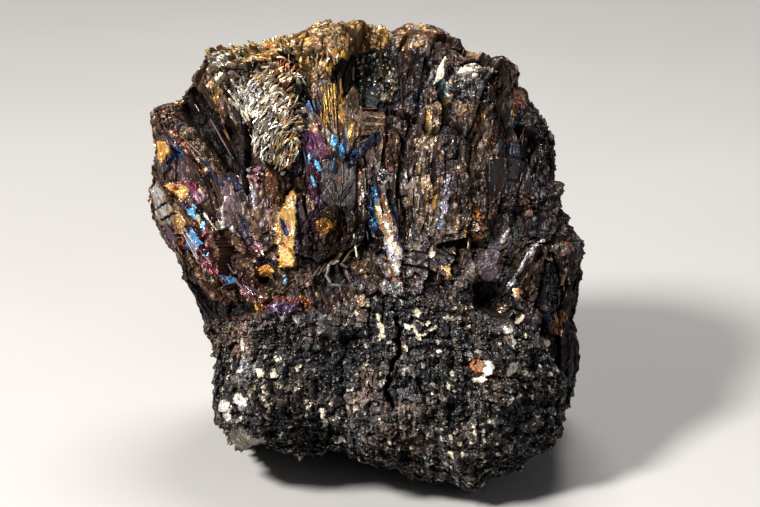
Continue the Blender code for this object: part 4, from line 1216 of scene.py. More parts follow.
# Deep places, sunk and painted all but black as shade; what stands in or over them comes later.
DEEP = (0.3, 0.0, 0.55)
for corners, sunk, bright in (
    ([(180, 94), (192, 88), (203, 92), (212, 108), (226, 140), (240, 168), (226, 172), (208, 150), (192, 128), (184, 112)], -3.0, 0.14),
    ([(222, 118), (232, 120), (246, 150), (250, 176), (240, 172), (232, 148)], -1.6, 0.3), ([(356, 158), (360, 158), (361, 200), (359, 232), (355, 232), (356, 200)], -1.8, 0.2),
    ([(400, 126), (407, 132), (411, 152), (407, 160), (402, 148)], -1.4, 0.3), ([(334, 52), (352, 48), (362, 62), (360, 84), (346, 86), (336, 72)], -1.2, 0.45),
    ([(364, 48), (386, 46), (400, 62), (402, 96), (388, 110), (372, 104), (364, 80)], -1.0, 0.4), ([(454, 262), (463, 262), (463, 278), (456, 279)], -1.6, 0.2),
    ([(476, 287), (490, 282), (502, 284), (500, 296), (492, 304), (480, 305)], -3.0, 0.2), ([(222, 304), (246, 303), (252, 312), (236, 318), (222, 316)], -1.8, 0.2),
    ([(258, 262), (270, 258), (278, 272), (274, 286), (262, 284)], -1.4, 0.3), ([(196, 266), (214, 280), (232, 300), (226, 318), (208, 318), (192, 290)], -0.8, 0.35),
    ([(282, 196), (290, 176), (298, 186), (300, 214), (292, 232), (286, 214)], -0.8, 0.35), ([(306, 252), (322, 240), (338, 252), (344, 280), (330, 300), (312, 292)], -1.0, 0.5),
    ([(344, 342), (358, 340), (364, 350), (352, 358), (344, 352)], -1.4, 0.3), ([(440, 404), (462, 400), (476, 410), (470, 422), (448, 422)], -1.4, 0.35),
    ([(280, 424), (300, 418), (326, 430), (338, 444), (318, 450), (290, 444)], -1.4, 0.35), ([(398, 456), (408, 454), (412, 466), (402, 470)], -1.2, 0.3),
    ([(500, 408), (524, 400), (548, 404), (552, 424), (530, 440), (508, 430)], -0.8, 0.4), ([(258, 330), (276, 322), (300, 330), (306, 346), (284, 352), (264, 344)], -0.5, 0.5),
    ([(530, 128), (544, 122), (554, 150), (556, 182), (544, 190), (538, 160)], -0.6, 0.4),
):
    patch(corners, ("black", "umber", "black", "slate", "black"), DEEP, sunk, 0.0, bright)
# The grey, cracked plate at the outer edge.
flake(iris, [(149, 187), (154, 183), (160, 191), (167, 201), (163, 206), (156, 208), (151, 204), (148, 195)], "silver", 1.1, (0.05, 0.10, 0.42))
flake(iris, [(152, 209), (163, 207), (168, 203), (177, 213), (172, 219), (160, 225), (155, 218)], "ash", 1.2, (0.05, 0.15, 0.42))
flake(iris, [(161, 227), (172, 220), (178, 214), (187, 227), (181, 232), (170, 234)], "tan", 1.1, (0.12, 0.45, 0.4))
flake(iris, [(163, 231), (172, 229), (177, 236), (171, 241), (166, 238)], "purple", 1.2, (0.42, 0.8, 0.4))
flake(iris, [(177, 237), (186, 231), (191, 236), (188, 243), (180, 244)], "salmon", 1.1, (0.22, 0.5, 0.4))
blade(dull, 184, 222, 157, 181, 5, ("tan", "ash"), lift=1.3, thick=1.0, count=2)
blade(dull, 190, 222, 163, 181, 4, ("black", "umber"), ("bronze",), lift=0.8, thick=1.0, count=2)
# Gold, pink and lilac next to it.
flake(iris, [(169, 183), (177, 182), (183, 188), (188, 196), (182, 199), (174, 192)], "cream", 1.6, (0.10, 0.55, 0.35))
flake(iris, [(177, 180), (188, 179), (194, 184), (192, 190), (184, 188)], "pink", 1.7, (0.33, 0.75, 0.3))
flake(iris, [(187, 190), (193, 187), (198, 192), (201, 200), (196, 201), (190, 196)], "lilac", 1.7, (0.50, 0.6, 0.3))
flake(iris, [(178, 197), (186, 200), (190, 206), (183, 207)], "salmon", 1.5, (0.30, 0.7, 0.35))
# The strip of blue, gold and cyan.
flake(iris, [(184, 207), (190, 206), (197, 212), (194, 219), (188, 215)], "sky", 1.7, (0.78, 0.9, 0.28))
flake(iris, [(194, 219), (197, 213), (203, 219), (200, 226)], "gold", 1.7, (0.08, 0.8, 0.28))
flake(iris, [(199, 226), (203, 219), (207, 226), (206, 233), (202, 232)], "cyan", 1.7, (0.84, 0.9, 0.28))
blade(iris, 216, 246, 190, 202, 3.5, ("cyan", "lilac"), lift=1.9, thick=0.6, count=2, film=(0.8, 0.6, 0.3))
blade(iris, 236, 284, 186, 222, 15, ("rust", "brown", "salmon", "umber"), ("magenta", "salmon"), lift=1.0, thick=1.6, count=5, film=(0.30, 0.18, 0.35), roll=8)
blade(dull, 250, 292, 205, 228, 6, ("umber", "purple", "brown"), ("mauve", "magenta"), lift=1.2, thick=1.0, count=4, film=(0.40, 0.3, 0.35), roll=-30)
blade(dull, 262, 304, 232, 272, 8, ("mauve", "brown", "purple"), ("pink", "salmon"), lift=1.1, thick=1.0, count=4, film=(0.40, 0.35, 0.35), roll=10)
# The sky-blue facets.
flake(iris, [(188, 227), (191, 229), (203, 243), (203, 248), (196, 246), (187, 238)], "sky", 1.9, (0.74, 1.0, 0.25), cuts=2)
flake(iris, [(184, 239), (189, 241), (197, 247), (201, 249), (192, 250), (184, 246)], "blue", 1.8, (0.66, 1.0, 0.28), cuts=2)
flake(iris, [(204, 253), (209, 252), (216, 258), (214, 264), (207, 260)], "sky", 1.9, (0.74, 1.0, 0.25), cuts=2)
flake(iris, [(214, 259), (219, 262), (222, 268), (215, 268), (212, 264)], "cyan", 1.9, (0.82, 0.9, 0.25), cuts=2)
flake(iris, [(216, 275), (225, 274), (234, 280), (232, 284), (224, 283)], "sky", 1.9, (0.76, 1.0, 0.25), cuts=2)
crystals(iris, 60, 226, 279, 12, 5, ["magenta", "salmon", "pink"], (0.15, 0.35), 1.4, (0.33, 0.7, 0.3), angle=35)
crystals(iris, 90, 210, 258, 22, 6, ["magenta", "rust", "pink", "purple"], (0.12, 0.32), 1.3, (0.34, 0.8, 0.3), angle=48)
crystals(dull, 120, 200, 270, 34, 8, ["umber", "olive", "tan", "black"], (0.15, 0.4), 0.7, angle=45)
# The brown and purple plate above, with its gold patch and blue border.
flake(dull, [(153, 137), (163, 132), (174, 134), (186, 150), (197, 170), (189, 181), (173, 180), (159, 182), (152, 165)], "brown", 0.6, (0.48, 0.08, 0.45), edge="mauve", dome=0.5, thick=2.5)
flake(iris, [(156, 144), (162, 141), (170, 147), (171, 152), (165, 156), (159, 160), (155, 151)], "gold", 1.9, (0.10, 0.9, 0.35))
flake(iris, [(169, 139), (176, 142), (181, 151), (178, 160), (172, 160), (174, 151)], "blue", 1.6, (0.62, 0.8, 0.38))
flake(iris, [(158, 162), (165, 160), (170, 166), (165, 173), (159, 170)], "indigo", 1.3, (0.58, 0.6, 0.42))
blade(dull, 166, 182, 154, 150, 3, ("tan", "brown"), lift=1.3, thick=0.6, count=2)
# The knob at the shoulder.
blade(dull, 188, 150, 160, 107, 22, ("mauve", "brown", "salmon"), ("tan", "salmon"), lift=1.2, thick=4.0, count=7, roll=14, tip_share=0.75)
blade(dull, 176, 140, 164, 106, 14, ("salmon", "mauve"), ("tan", "salmon"), lift=1.9, thick=1.2, count=3, roll=-14)
crystals(dull, 160, 163, 118, 11, 14, ["salmon", "tan", "brown", "mauve"], (0.15, 0.4), 1.5, spread=1.2)
crystals(dull, 60, 178, 104, 9, 4, ["gold", "tan", "umber"], (0.15, 0.4), 0.6, angle=-25)
# The thin plates on edge, and the dark valley.
blade(dull, 204, 176, 171, 127, 3, ("rust", "salmon"), ("tan",), lift=1.6, thick=0.7, count=2)
blade(iris, 218, 182, 184, 139, 5, ("navy", "teal", "black"), ("blue", "teal"), lift=0.9, thick=1.0, count=3, film=(0.58, 0.12, 0.4))
blade(iris, 221, 184, 200, 158, 6, ("teal", "navy", "slate"), ("teal", "blue"), lift=1.1, thick=1.0, count=3, film=(0.64, 0.2, 0.4))
blade(dull, 226, 172, 178, 126, 14, ("tan", "brown", "bronze"), ("tan", "orange"), lift=0.5, thick=1.6, count=4, bright=0.7)
blade(iris, 241, 168, 206, 106, 6, ("purple", "mauve"), ("lilac", "mauve"), lift=1.3, thick=1.2, count=4, film=(0.44, 0.4, 0.4))
blade(dull, 250, 170, 213, 84, 14, ("tan", "salmon", "gold"), ("yellow", "tan"), lift=1.2, thick=2.6, count=6, roll=12)
blade(dull, 252, 168, 226, 120, 14, ("grey", "brown"), ("tan",), lift=1.5, thick=1.4, count=4, roll=-6)
blade(dull, 217, 114, 211, 95, 2.5, ("yellow",), lift=1.9, thick=0.5, count=2)
blade(dull, 224, 124, 217, 98, 5, ("salmon", "pink"), lift=1.8, thick=0.6, count=2)
# Fine pale edges: painted highlights where the plate edges catch light.
for x0, y0, x1, y1, w in (
    (223, 231, 219, 206, 2.6), (217, 232, 203, 213, 2.4), (230, 246, 223, 229, 1.8), (246, 262, 233, 232, 2.2), (257, 270, 249, 246, 1.8),
    (251, 268, 247, 250, 1.3), (239, 213, 237, 199, 1.8), (202, 275, 196, 268, 2.4), (231, 298, 217, 286, 2.6), (245, 250, 239, 236, 1.3),
    (215, 210, 222, 200, 1.6), (262, 296, 254, 284, 1.4), (240, 275, 233, 262, 1.3),
):
    mx, my = (x0 + x1) / 2 + rng.normal(0, 1.2), (y0 + y1) / 2 + rng.normal(0, 1.2)
    for ax, ay, bx, by in ((x0, y0, mx, my), (mx, my, x1, y1)):
        stroke(ax, ay, bx, by, max(w * 0.85, 1.6), ("cream", "white", "tan", "cream"), (0.1, 0.0, 0.32), 0.4, 0.4, 0.85, root=0.9, tip=0.9)
flake(dull, [(214, 222), (221, 220), (224, 229), (221, 231), (217, 230)], "cream", 2.2, thick=0.6, cuts=2)
blade(iris, 255, 213, 250, 185, 4, ("silver", "lilac"), ("white",), lift=2.0, thick=0.7, count=2, film=(0.82, 0.25, 0.25))
crystals(iris, 40, 258, 246, 5, 6, ["magenta", "pink", "salmon"], (0.2, 0.45), 1.9, (0.34, 0.9, 0.3))
flake(iris, [(256, 243), (260, 242), (261, 247), (258, 249)], "sky", 2.6, (0.72, 1.0, 0.25), cuts=2)
crystals(iris, 70, 255, 173, 8, 8, ["pink", "mint", "white", "magenta", "ash"], (0.2, 0.5), 1.5, (0.34, 0.3, 0.3))
patch([(260, 266), (266, 263), (275, 272), (271, 278), (263, 275)], ("orange", "rust", "gold", "umber"), (0.14, 0.5, 0.35), -0.9, 0.5, 0.55)
blade(iris, 285, 284, 284, 274, 3, ("silver", "cyan"), lift=1.8, thick=0.5, count=1, film=(0.8, 0.3, 0.25))
blade(dull, 276, 204, 270, 164, 18, ("bronze", "rust", "brown"), ("tan", "bronze"), lift=1.3, thick=2.6, count=10, roll=72)

# ---- the gold blade, and the centre ------------------------------------------------------------------------
flake(iris, [(276, 250), (275, 235), (277, 214), (284, 203), (287, 190), (292, 187), (294, 200), (297, 216), (297, 231), (294, 244), (292, 263), (281, 266)],
      "gold", 2.3, (0.07, 0.75, 0.30), edge="yellow", thick=2.4, dome=0.4)
flake(iris, [(280, 214), (283, 217), (289, 232), (288, 238), (284, 228)], "indigo", 2.95, (0.55, 1.0, 0.28), thick=0.3, dome=0.05)
# Painted highlight: the yellow band at the blade's right side.
flake(iris, [(289, 212), (295, 216), (297, 231), (294, 244), (290, 236)], "yellow", 2.8, (0.08, 0.8, 0.25), thick=0.4)
blade(iris, 294, 266, 290, 236, 3, ("tan", "gold"), lift=2.9, thick=0.5, count=2, film=(0.1, 0.5, 0.3))
blade(iris, 301, 268, 297, 226, 4, ("lilac", "indigo"), ("lilac", "blue"), lift=2.0, thick=0.9, count=3, film=(0.62, 0.7, 0.3))
blade(iris, 300, 306, 262, 296, 7, ("purple", "mauve"), ("magenta", "gold"), lift=1.0, thick=1.0, count=3, film=(0.42, 0.6, 0.4))
crystals(iris, 120, 283, 304, 30, 10, ["gold", "purple", "bronze", "umber", "magenta"], (0.15, 0.4), 0.8, (0.2, 0.3, 0.35))
# Purple ground with its blue lobes.
blade(iris, 320, 206, 306, 128, 13, ("purple", "navy", "mauve"), ("magenta", "purple", "pink"), lift=0.8, thick=2.4, count=8, film=(0.42, 0.7, 0.4), roll=58)
blade(iris, 326, 180, 316, 130, 14, ("mauve", "purple", "brown"), ("magenta", "mauve"), lift=0.9, thick=1.6, count=5, film=(0.40, 0.5, 0.42), roll=-12)
flake(iris, [(334, 131), (338, 137), (337, 150), (333, 149), (329, 142)], "sky", 2.1, (0.72, 1.0, 0.22), cuts=2)
flake(iris, [(340, 139), (344, 148), (342, 157), (337, 156), (338, 147)], "cyan", 2.1, (0.80, 0.9, 0.22), cuts=2)
flake(iris, [(312, 158), (317, 161), (323, 170), (319, 171), (313, 164)], "cyan", 2.0, (0.84, 0.8, 0.22), cuts=2)
flake(iris, [(308, 174), (312, 176), (317, 187), (315, 189), (309, 181)], "cyan", 2.0, (0.84, 0.8, 0.22), cuts=2)
flake(iris, [(333, 160), (336, 162), (334, 172), (331, 172)], "sky", 2.0, (0.72, 0.9, 0.25), cuts=1)
flake(iris, [(305, 154), (309, 152), (310, 160), (307, 162)], "sky", 1.9, (0.78, 0.8, 0.25), cuts=1)
for x0, y0, x1, y1 in ((312, 110, 308, 100), (316, 111, 313, 101), (320, 110, 318, 100), (307, 109, 306, 103)):
    blade(iris, x0, y0, x1, y1, 1.4, ("blue", "slate"), lift=1.7, thick=0.4, count=1, film=(0.74, 0.2, 0.3))
crystals(iris, 50, 314, 178, 9, 24, ["magenta", "purple", "black", "umber"], (0.12, 0.3), 0.8, (0.38, 0.3, 0.3))
# The gold-striped column and the facet beside it.
blade(dull, 334, 146, 328, 78, 26, ("brown", "gold", "grey", "bronze"), ("gold", "brown", "orange", "umber"), lift=1.4, thick=4.6, count=15, roll=80, spread=0.35)
patch([(317, 84), (340, 82), (344, 100), (341, 128), (336, 142), (322, 138), (318, 112)], ("brown", "grey", "bronze", "gold", "brown", "tan"), (0.1, 0.05, 0.38), 0.5, 0.6, 0.55)
for k in range(20):
    x, low, high = rng.uniform(320, 338), rng.uniform(98, 136), rng.uniform(8, 30)
    blade(dull, x + 1.5, low, x, max(low - high, 84), rng.uniform(0.45, 0.9), ("gold", "tan", "gold"), ("gold", "tan"), lift=1.5, thick=0.3, count=1, wave=0.4,
          film=(0.1, 0.1, 0.32), bright=rng.uniform(0.6, 1.3))
flake(dull, [(343, 96), (353, 82), (361, 90), (363, 112), (357, 136), (349, 150), (343, 124)], "brown", 1.6, (0.1, 0.15, 0.42), edge="tan", dome=0.35, thick=2.0)
flake(dull, [(342, 128), (348, 126), (352, 140), (348, 152), (342, 146)], "teal", 1.8, (0.6, 0.3, 0.42), thick=0.6)
flake(iris, [(350, 123), (353, 122), (352, 130), (348, 136), (347, 132)], "yellow", 2.5, (0.05, 0.7, 0.25), thick=0.3, cuts=1)
# The dark cavity at the top, with its smooth grey patch.
flake(dull, [(364, 82), (380, 80), (383, 99), (374, 107), (364, 99)], "teal", 1.2, (0.6, 0.1, 0.45), dome=0.3, thick=2.0)
crystals(dull, 260, 380, 72, 26, 26, ["black", "umber", "olive", "teal", "black", "slate"], (0.2, 0.6), 0.4, spread=1.4)
# Painted glints: pale specks in the cavity.
crystals(dull, 60, 384, 78, 14, 24, ["ash", "silver", "cream", "tan"], (0.12, 0.35), 1.0, spread=1.4)
# The square block, its plates across.
blade(dull, 360, 119, 388, 118, 23, ("brown", "bronze", "rust"), ("tan", "bronze", "brown"), lift=1.6, thick=3.6, count=11, roll=78, spread=0.12, tip_share=1.0, root_share=1.0, ragged=0.02, skew=0.0)
blade(dull, 366, 116, 385, 115, 1.6, ("tan", "cream"), lift=2.4, thick=0.4, count=1, spread=0.1)
blade(dull, 364, 125, 383, 124, 1.6, ("tan", "ash"), lift=2.4, thick=0.4, count=1, spread=0.1)
# The navy blade across the gap.
crystals(iris, 26, 365, 148, 13, 3, ["blue", "navy", "black"], (0.1, 0.22), 0.9, (0.6, 0.1, 0.28), angle=-42)
# The smooth plate with its fine, curving rays.
patch([(322, 160), (344, 156), (356, 158), (356, 200), (346, 205), (331, 208), (321, 198), (319, 176)], ("brown", "slate", "grey", "brown"), (0.1, 0.03, 0.32), 0.6, 0.88, 0.62)
for k in range(9):
    turn, far = math.radians(-26 + 6.4 * k + rng.normal(0, 1)), rng.uniform(20, 40)
    x, y = 337 + 8 * math.sin(turn), 208.0
    blade(dull, x, y - 6, x + far * math.sin(turn), y - far * math.cos(turn), 0.5, ("grey", "slate", "bronze"), ("grey", "brown"), lift=1.9, thick=0.2, count=1,
          bend_side=rng.normal(0, 1.0), bright=0.7)
# The narrow pink blade and the blue glitter.
blade(dull, 363, 222, 364, 163, 8, ("salmon", "mauve", "tan"), ("pink", "tan"), lift=1.8, thick=1.4, count=4, roll=10)
crystals(dull, 110, 363, 192, 4.5, 28, ["salmon", "tan", "cream", "mauve"], (0.12, 0.32), 2.0, spread=1.1)
patch([(367, 188), (376, 186), (378, 200), (378, 230), (372, 233), (368, 216)], ("sky", "navy", "cyan", "blue", "sky", "black"), (0.72, 0.55, 0.28), 0.2, 0.1, 0.75)
crystals(iris, 34, 372, 210, 4.2, 20, ["sky", "cyan", "blue", "white"], (0.12, 0.3), 0.4, (0.74, 0.5, 0.25))
# The long pale blade: its cream and white are painted reflection, with lilac tints.
blade(dull, 398, 250, 377, 158, 12, ("grey", "brown", "ash", "mauve"), ("tan", "ash"), lift=2.2, thick=2.4, count=7, roll=-10)
patch([(377, 200), (383, 196), (388, 212), (395, 232), (401, 256), (404, 288), (396, 288), (390, 266), (383, 240)], ("cream", "tan", "salmon", "cream", "ash", "white"), (0.1, 0.1, 0.32), 1.0, 0.25, 0.8)
patch([(386, 240), (391, 238), (396, 252), (402, 272), (401, 280), (395, 276), (389, 258)], ("white", "lilac", "cream", "white", "silver"), (0.5, 0.2, 0.28), 1.3, 0.3, 0.95)
flake(iris, [(391, 256), (395, 254), (400, 268), (400, 275), (395, 272)], "white", 3.2, (0.5, 0.25, 0.25), thick=0.5)
flake(iris, [(384, 246), (387, 245), (391, 256), (389, 258)], "lilac", 3.1, (0.5, 0.3, 0.25), thick=0.5, cuts=1)
flake(dull, [(386, 192), (391, 189), (397, 205), (401, 226), (396, 224), (389, 208)], "black", 2.9, (0.45, 0.3, 0.4), edge="purple", thick=0.5)
blade(iris, 404, 262, 398, 232, 4, ("purple", "lilac"), ("magenta", "lilac"), lift=2.9, thick=0.6, count=2, film=(0.44, 0.6, 0.3))
crystals(dull, 70, 383, 176, 5, 10, ["silver", "ash", "white", "grey"], (0.12, 0.35), 2.5, spread=1.0)
blade(iris, 380, 226, 376, 203, 2.5, ("gold", "orange"), lift=2.9, thick=0.4, count=1, film=(0.1, 0.6, 0.28))
crystals(dull, 90, 394, 290, 8, 8, ["mint", "ash", "grey", "silver"], (0.15, 0.45), 1.4, spread=1.2)
blade(dull, 403, 296, 400, 276, 9, ("grey", "salmon", "ash"), lift=2.4, thick=1.2, count=3)
# Short columns with square heads.
blade(dull, 391, 170, 388, 126, 9, ("mauve", "salmon"), ("salmon", "mauve"), lift=1.5, thick=2.0, count=5, roll=70, spread=0.3, tip_share=1.0)
blade(dull, 400, 168, 398, 128, 8, ("tan", "olive"), ("tan", "bronze"), lift=1.5, thick=2.0, count=5, roll=70, spread=0.3, tip_share=1.0)
blade(dull, 413, 172, 411, 133, 9, ("mauve", "salmon", "brown"), ("pink", "salmon"), lift=1.5, thick=2.0, count=5, roll=68, spread=0.3, tip_share=1.0)
# The rough grey column.
blade(dull, 414, 134, 409, 33, 24, ("mauve", "grey", "slate"), ("ash", "mauve"), lift=1.2, thick=4.0, count=9, roll=34)
patch([(402, 40), (416, 36), (421, 60), (420, 110), (412, 134), (402, 128), (400, 90)], ("mauve", "grey", "slate", "umber", "bronze", "black"), (0.3, 0.02, 0.38), 0.3, 0.1, 0.55)
crystals(dull, 60, 413, 84, 7, 40, ["mauve", "grey", "slate", "umber"], (0.12, 0.3), 0.9, spread=1.2)
crystals(iris, 26, 415, 104, 5, 14, ["indigo", "navy", "slate", "grey"], (0.12, 0.26), 0.5, (0.58, 0.1, 0.32))
# Curved sheets under the smooth plate.
for k in range(15):
    x0, y0 = 312 + 2.4 * k + rng.normal(0, 1), 266 - 1.4 * k + rng.normal(0, 2)
    blade(dull, x0, y0 + 12, x0 + 16, y0 - 16, 1.0 if k % 2 else 3.0, ("tan", "ash") if k % 2 else ("black", "brown"), ("tan", "ash") if k % 2 else ("black",), lift=2.0, thick=0.5,
          count=2, roll=40, bend_side=-1.4)
for k in range(14):
    turn = k * 0.45
    blade(dull, 337 + 9 * math.cos(turn), 274 + 11 * math.sin(turn), 337 + 9 * math.cos(turn + 0.9), 274 + 11 * math.sin(turn + 0.9), 1.0 if k % 2 else 2.4,
          ("ash", "mauve") if k % 2 else ("black", "umber"), lift=2.0, thick=0.5, count=2, roll=50, bend_side=0.5)
blade(dull, 345, 238, 322, 212, 14, ("rust", "brown", "umber"), ("orange", "rust"), lift=1.2, thick=1.6, count=4, roll=16)
crystals(iris, 50, 328, 228, 8, 8, ["orange", "gold", "rust"], (0.12, 0.3), 1.6, (0.14, 0.6, 0.3))
blade(dull, 357, 258, 353, 231, 1.5, ("cream",), lift=2.0, thick=0.4, count=1)

# ---- right of the centre -----------------------------------------------------------------------------------
for x0, y0, x1, y1, w, names in (
    (417, 192, 422, 158, 2.6, ("cream", "gold")), (419, 218, 420, 194, 2.0, ("white", "cream")), (428, 226, 428, 186, 3.0, ("gold", "tan")),
    (434, 214, 436, 176, 2.4, ("tan", "gold")), (426, 180, 430, 150, 2.4, ("tan", "cream")), (448, 156, 450, 140, 3.0, ("cream", "tan")),
    (462, 250, 462, 200, 3.0, ("bronze", "gold")), (456, 240, 455, 190, 2.0, ("tan", "brown")), (409, 250, 409, 205, 2.0, ("tan", "ash")),
    (484, 230, 484, 190, 2.0, ("bronze", "tan")), (440, 130, 441, 100, 2.0, ("tan", "bronze")), (432, 130, 431, 90, 2.0, ("bronze", "tan")),
):
    blade(dull, x0, y0, x1, y1, w, names, lift=1.7, thick=0.7, count=2, spread=0.6, wave=0.3)
blade(dull, 440, 230, 445, 178, 7, ("silver", "ash", "lilac"), ("white", "silver"), lift=1.6, thick=1.4, count=4, roll=14)
flake(iris, [(435, 228), (438, 219), (442, 220), (443, 228), (439, 230)], "silver", 2.5, (0.66, 0.5, 0.25), thick=0.4, cuts=2)
flake(iris, [(438, 153), (441, 146), (445, 148), (444, 155)], "white", 2.2, (0.6, 0.35, 0.25), thick=0.4, cuts=2)
blade(iris, 452, 152, 449, 136, 4, ("navy", "slate", "black"), lift=1.4, thick=0.5, count=2, film=(0.6, 0.15, 0.3))
blade(dull, 473, 246, 474, 204, 13, ("rust", "bronze", "brown"), ("orange", "rust"), lift=1.4, thick=2.0, count=7, roll=60)
crystals(iris, 30, 474, 212, 5, 6, ["orange", "rust", "brown"], (0.1, 0.25), 1.2, (0.16, 0.2, 0.28))
crystals(dull, 26, 472, 227, 3, 8, ["gold", "cream", "tan"], (0.1, 0.25), 1.4, spread=1.1)
# Painted glints in gold and cream.
crystals(dull, 16, 475, 187, 2, 5, ["yellow", "gold", "cream"], (0.12, 0.3), 1.9)
flake(dull, [(430, 258), (433, 248), (438, 242), (440, 244), (438, 254), (433, 259)], "cream", 2.3, (0.08, 0.2, 0.3), thick=0.6)
flake(iris, [(443, 268), (449, 265), (454, 272), (453, 281), (447, 281)], "tan", 1.9, (0.1, 0.4, 0.35), dome=0.5)
# Painted shade: black in the hole beside the tan facet.
flake(dull, [(454, 267), (460, 265), (462, 274), (457, 278)], "black", 1.9, (0, 0, 0.6), edge="black", thick=0.4, cuts=2)
# The broad dark plates at the right.
flake(dull, [(486, 158), (504, 150), (512, 174), (508, 196), (490, 200), (484, 184)], "slate", 1.2, (0.5, 0.03, 0.38), edge="umber", dome=0.3, thick=2.5)
flake(dull, [(510, 156), (530, 160), (536, 186), (524, 196), (511, 190)], "slate", 0.8, (0.5, 0.02, 0.38), edge="umber", dome=0.3, thick=2.5)
flake(dull, [(487, 220), (505, 213), (521, 220), (516, 242), (500, 252), (486, 246)], "slate", 1.2, (0.5, 0.03, 0.36), edge="umber", dome=0.3, thick=2.5)
flake(dull, [(484, 248), (500, 250), (508, 262), (502, 280), (488, 284), (480, 268)], "grey", 1.0, (0.45, 0.1, 0.4), edge="mauve", dome=0.4, thick=2.5)
for ring in range(5):
    radius = 12 + 3.6 * ring
    for k in range(10):
        a0, a1 = math.radians(-86 + 17 * k + rng.normal(0, 3)), math.radians(-70 + 17 * k + rng.normal(0, 3))
        pale = 3 < k < 9 and ring > 1
        blade(dull, 515 + radius * math.sin(a0), 216 - radius * math.cos(a0), 515 + radius * math.sin(a1), 216 - radius * math.cos(a1), rng.uniform(1.8, 2.8),
              ("salmon", "brown", "mauve") if pale else ("umber", "brown", "black"), ("tan", "salmon") if pale else ("brown",), lift=1.4, thick=0.6, count=2, roll=40)
# Painted highlight: the pale edge line across the right plates.
blade(dull, 514, 283, 542, 239, 5, ("silver", "ash", "grey"), ("white", "silver", "grey"), lift=1.9, thick=1.4, count=5, roll=42)
blade(dull, 500, 300, 518, 276, 6, ("grey", "slate"), ("ash", "tan"), lift=1.4, thick=1.6, count=4, roll=30)
blade(dull, 519, 292, 536, 256, 6, ("brown", "slate"), ("grey", "tan"), lift=1.3, thick=1.6, count=4, roll=50)
# Painted shade: black in the deep recess below the right plates.
flake(dull, [(480, 290), (488, 283), (500, 282), (501, 290), (492, 302), (482, 303)], "black", 0.2, (0, 0, 0.7), edge="black", dome=-0.6, thick=0.5)
blade(dull, 524, 290, 531, 272, 4, ("tan", "cream"), lift=1.6, thick=0.8, count=2)
flake(iris, [(514, 290), (522, 288), (526, 294), (520, 300), (515, 297)], "tan", 1.6, (0.16, 0.4, 0.35))
crystals(dull, 30, 502, 308, 4, 5, ["tan", "salmon", "cream"], (0.15, 0.4), 1.0)
flake(dull, [(520, 325), (524, 315), (527, 314), (526, 322)], "pink", 1.8, (0.3, 0.1, 0.3), thick=0.5, cuts=1)
for x0, y0, x1, y1, w, names, film in (
    (532, 330, 540, 300, 4, ("purple", "mauve", "umber"), (0.46, 0.3, 0.35)), (546, 336, 548, 312, 3, ("indigo", "brown"), (0.6, 0.3, 0.32)),
    (540, 342, 544, 316, 3, ("rust", "tan"), (0.16, 0.25, 0.35)), (560, 338, 563, 312, 3, ("salmon", "rust"), (0.2, 0.2, 0.35)),
    (555, 348, 558, 326, 3, ("purple", "rust"), (0.44, 0.3, 0.35)), (566, 322, 568, 306, 2, ("tan", "rust"), (0.14, 0.2, 0.35)),
    (551, 328, 552, 314, 2, ("blue", "indigo"), (0.64, 0.5, 0.28)),
):
    blade(iris, x0, y0, x1, y1, w, names, lift=1.3, thick=0.9, count=3, film=film, roll=12)
flake(dull, [(553, 253), (558, 244), (567, 242), (573, 248), (566, 256), (557, 256)], "salmon", 1.0, (0.2, 0.1, 0.4), dome=0.4)
crystals(dull, 40, 560, 250, 9, 6, ["tan", "salmon", "ash"], (0.15, 0.4), 1.0)

# ---- the top right -----------------------------------------------------------------------------------------
# Painted highlights: white and cream at the top right.
flake(dull, [(436, 82), (437, 68), (442, 57), (446, 56), (445, 68), (441, 78)], "white", 2.0, (0.1, 0.05, 0.3), thick=0.8, dome=0.35)
flake(dull, [(455, 76), (460, 66), (468, 62), (474, 59), (478, 63), (474, 70), (466, 76), (458, 80)], "cream", 1.6, (0.1, 0.05, 0.35), dome=0.4)
flake(dull, [(470, 72), (477, 69), (480, 76), (474, 84), (466, 80)], "white", 1.7, (0.1, 0.05, 0.35), dome=0.4)
crystals(dull, 30, 470, 70, 18, 12, ["cream", "ash", "black", "umber"], (0.12, 0.3), 1.0, spread=1.2)
crystals(dull, 150, 474, 94, 27, 14, ["ash", "grey", "grey", "black", "slate", "black", "silver"], (0.12, 0.34), 0.8, spread=1.4)
blade(dull, 498, 100, 505, 62, 24, ("umber", "bronze", "brown"), ("tan", "bronze"), lift=0.9, thick=4.5, count=9, roll=20, tip_share=0.8)
crystals(dull, 170, 505, 77, 12, 17, ["umber", "bronze", "olive", "brown", "black"], (0.2, 0.5), 1.2, spread=1.2)
flake(dull, [(513, 104), (513, 90), (519, 86), (525, 92), (529, 105), (521, 103)], "salmon", 1.3, (0.15, 0.15, 0.38), dome=0.5)
crystals(dull, 50, 471, 121, 14, 11, ["tan", "rust", "tan", "umber", "grey", "brown"], (0.12, 0.3), 0.9, spread=1.2)
patch([(456, 108), (470, 103), (486, 106), (492, 118), (484, 132), (466, 134), (457, 124)], ("brown", "tan", "umber", "bronze", "grey", "brown"), (0.15, 0.02, 0.4), 0.2, 0.0, 0.46)
patch([(472, 124), (475, 113), (483, 111), (484, 121), (477, 130)], ("rust", "tan", "brown", "salmon", "brown", "tan"), (0.15, 0.02, 0.4), 0.3, 0.1, 0.5)
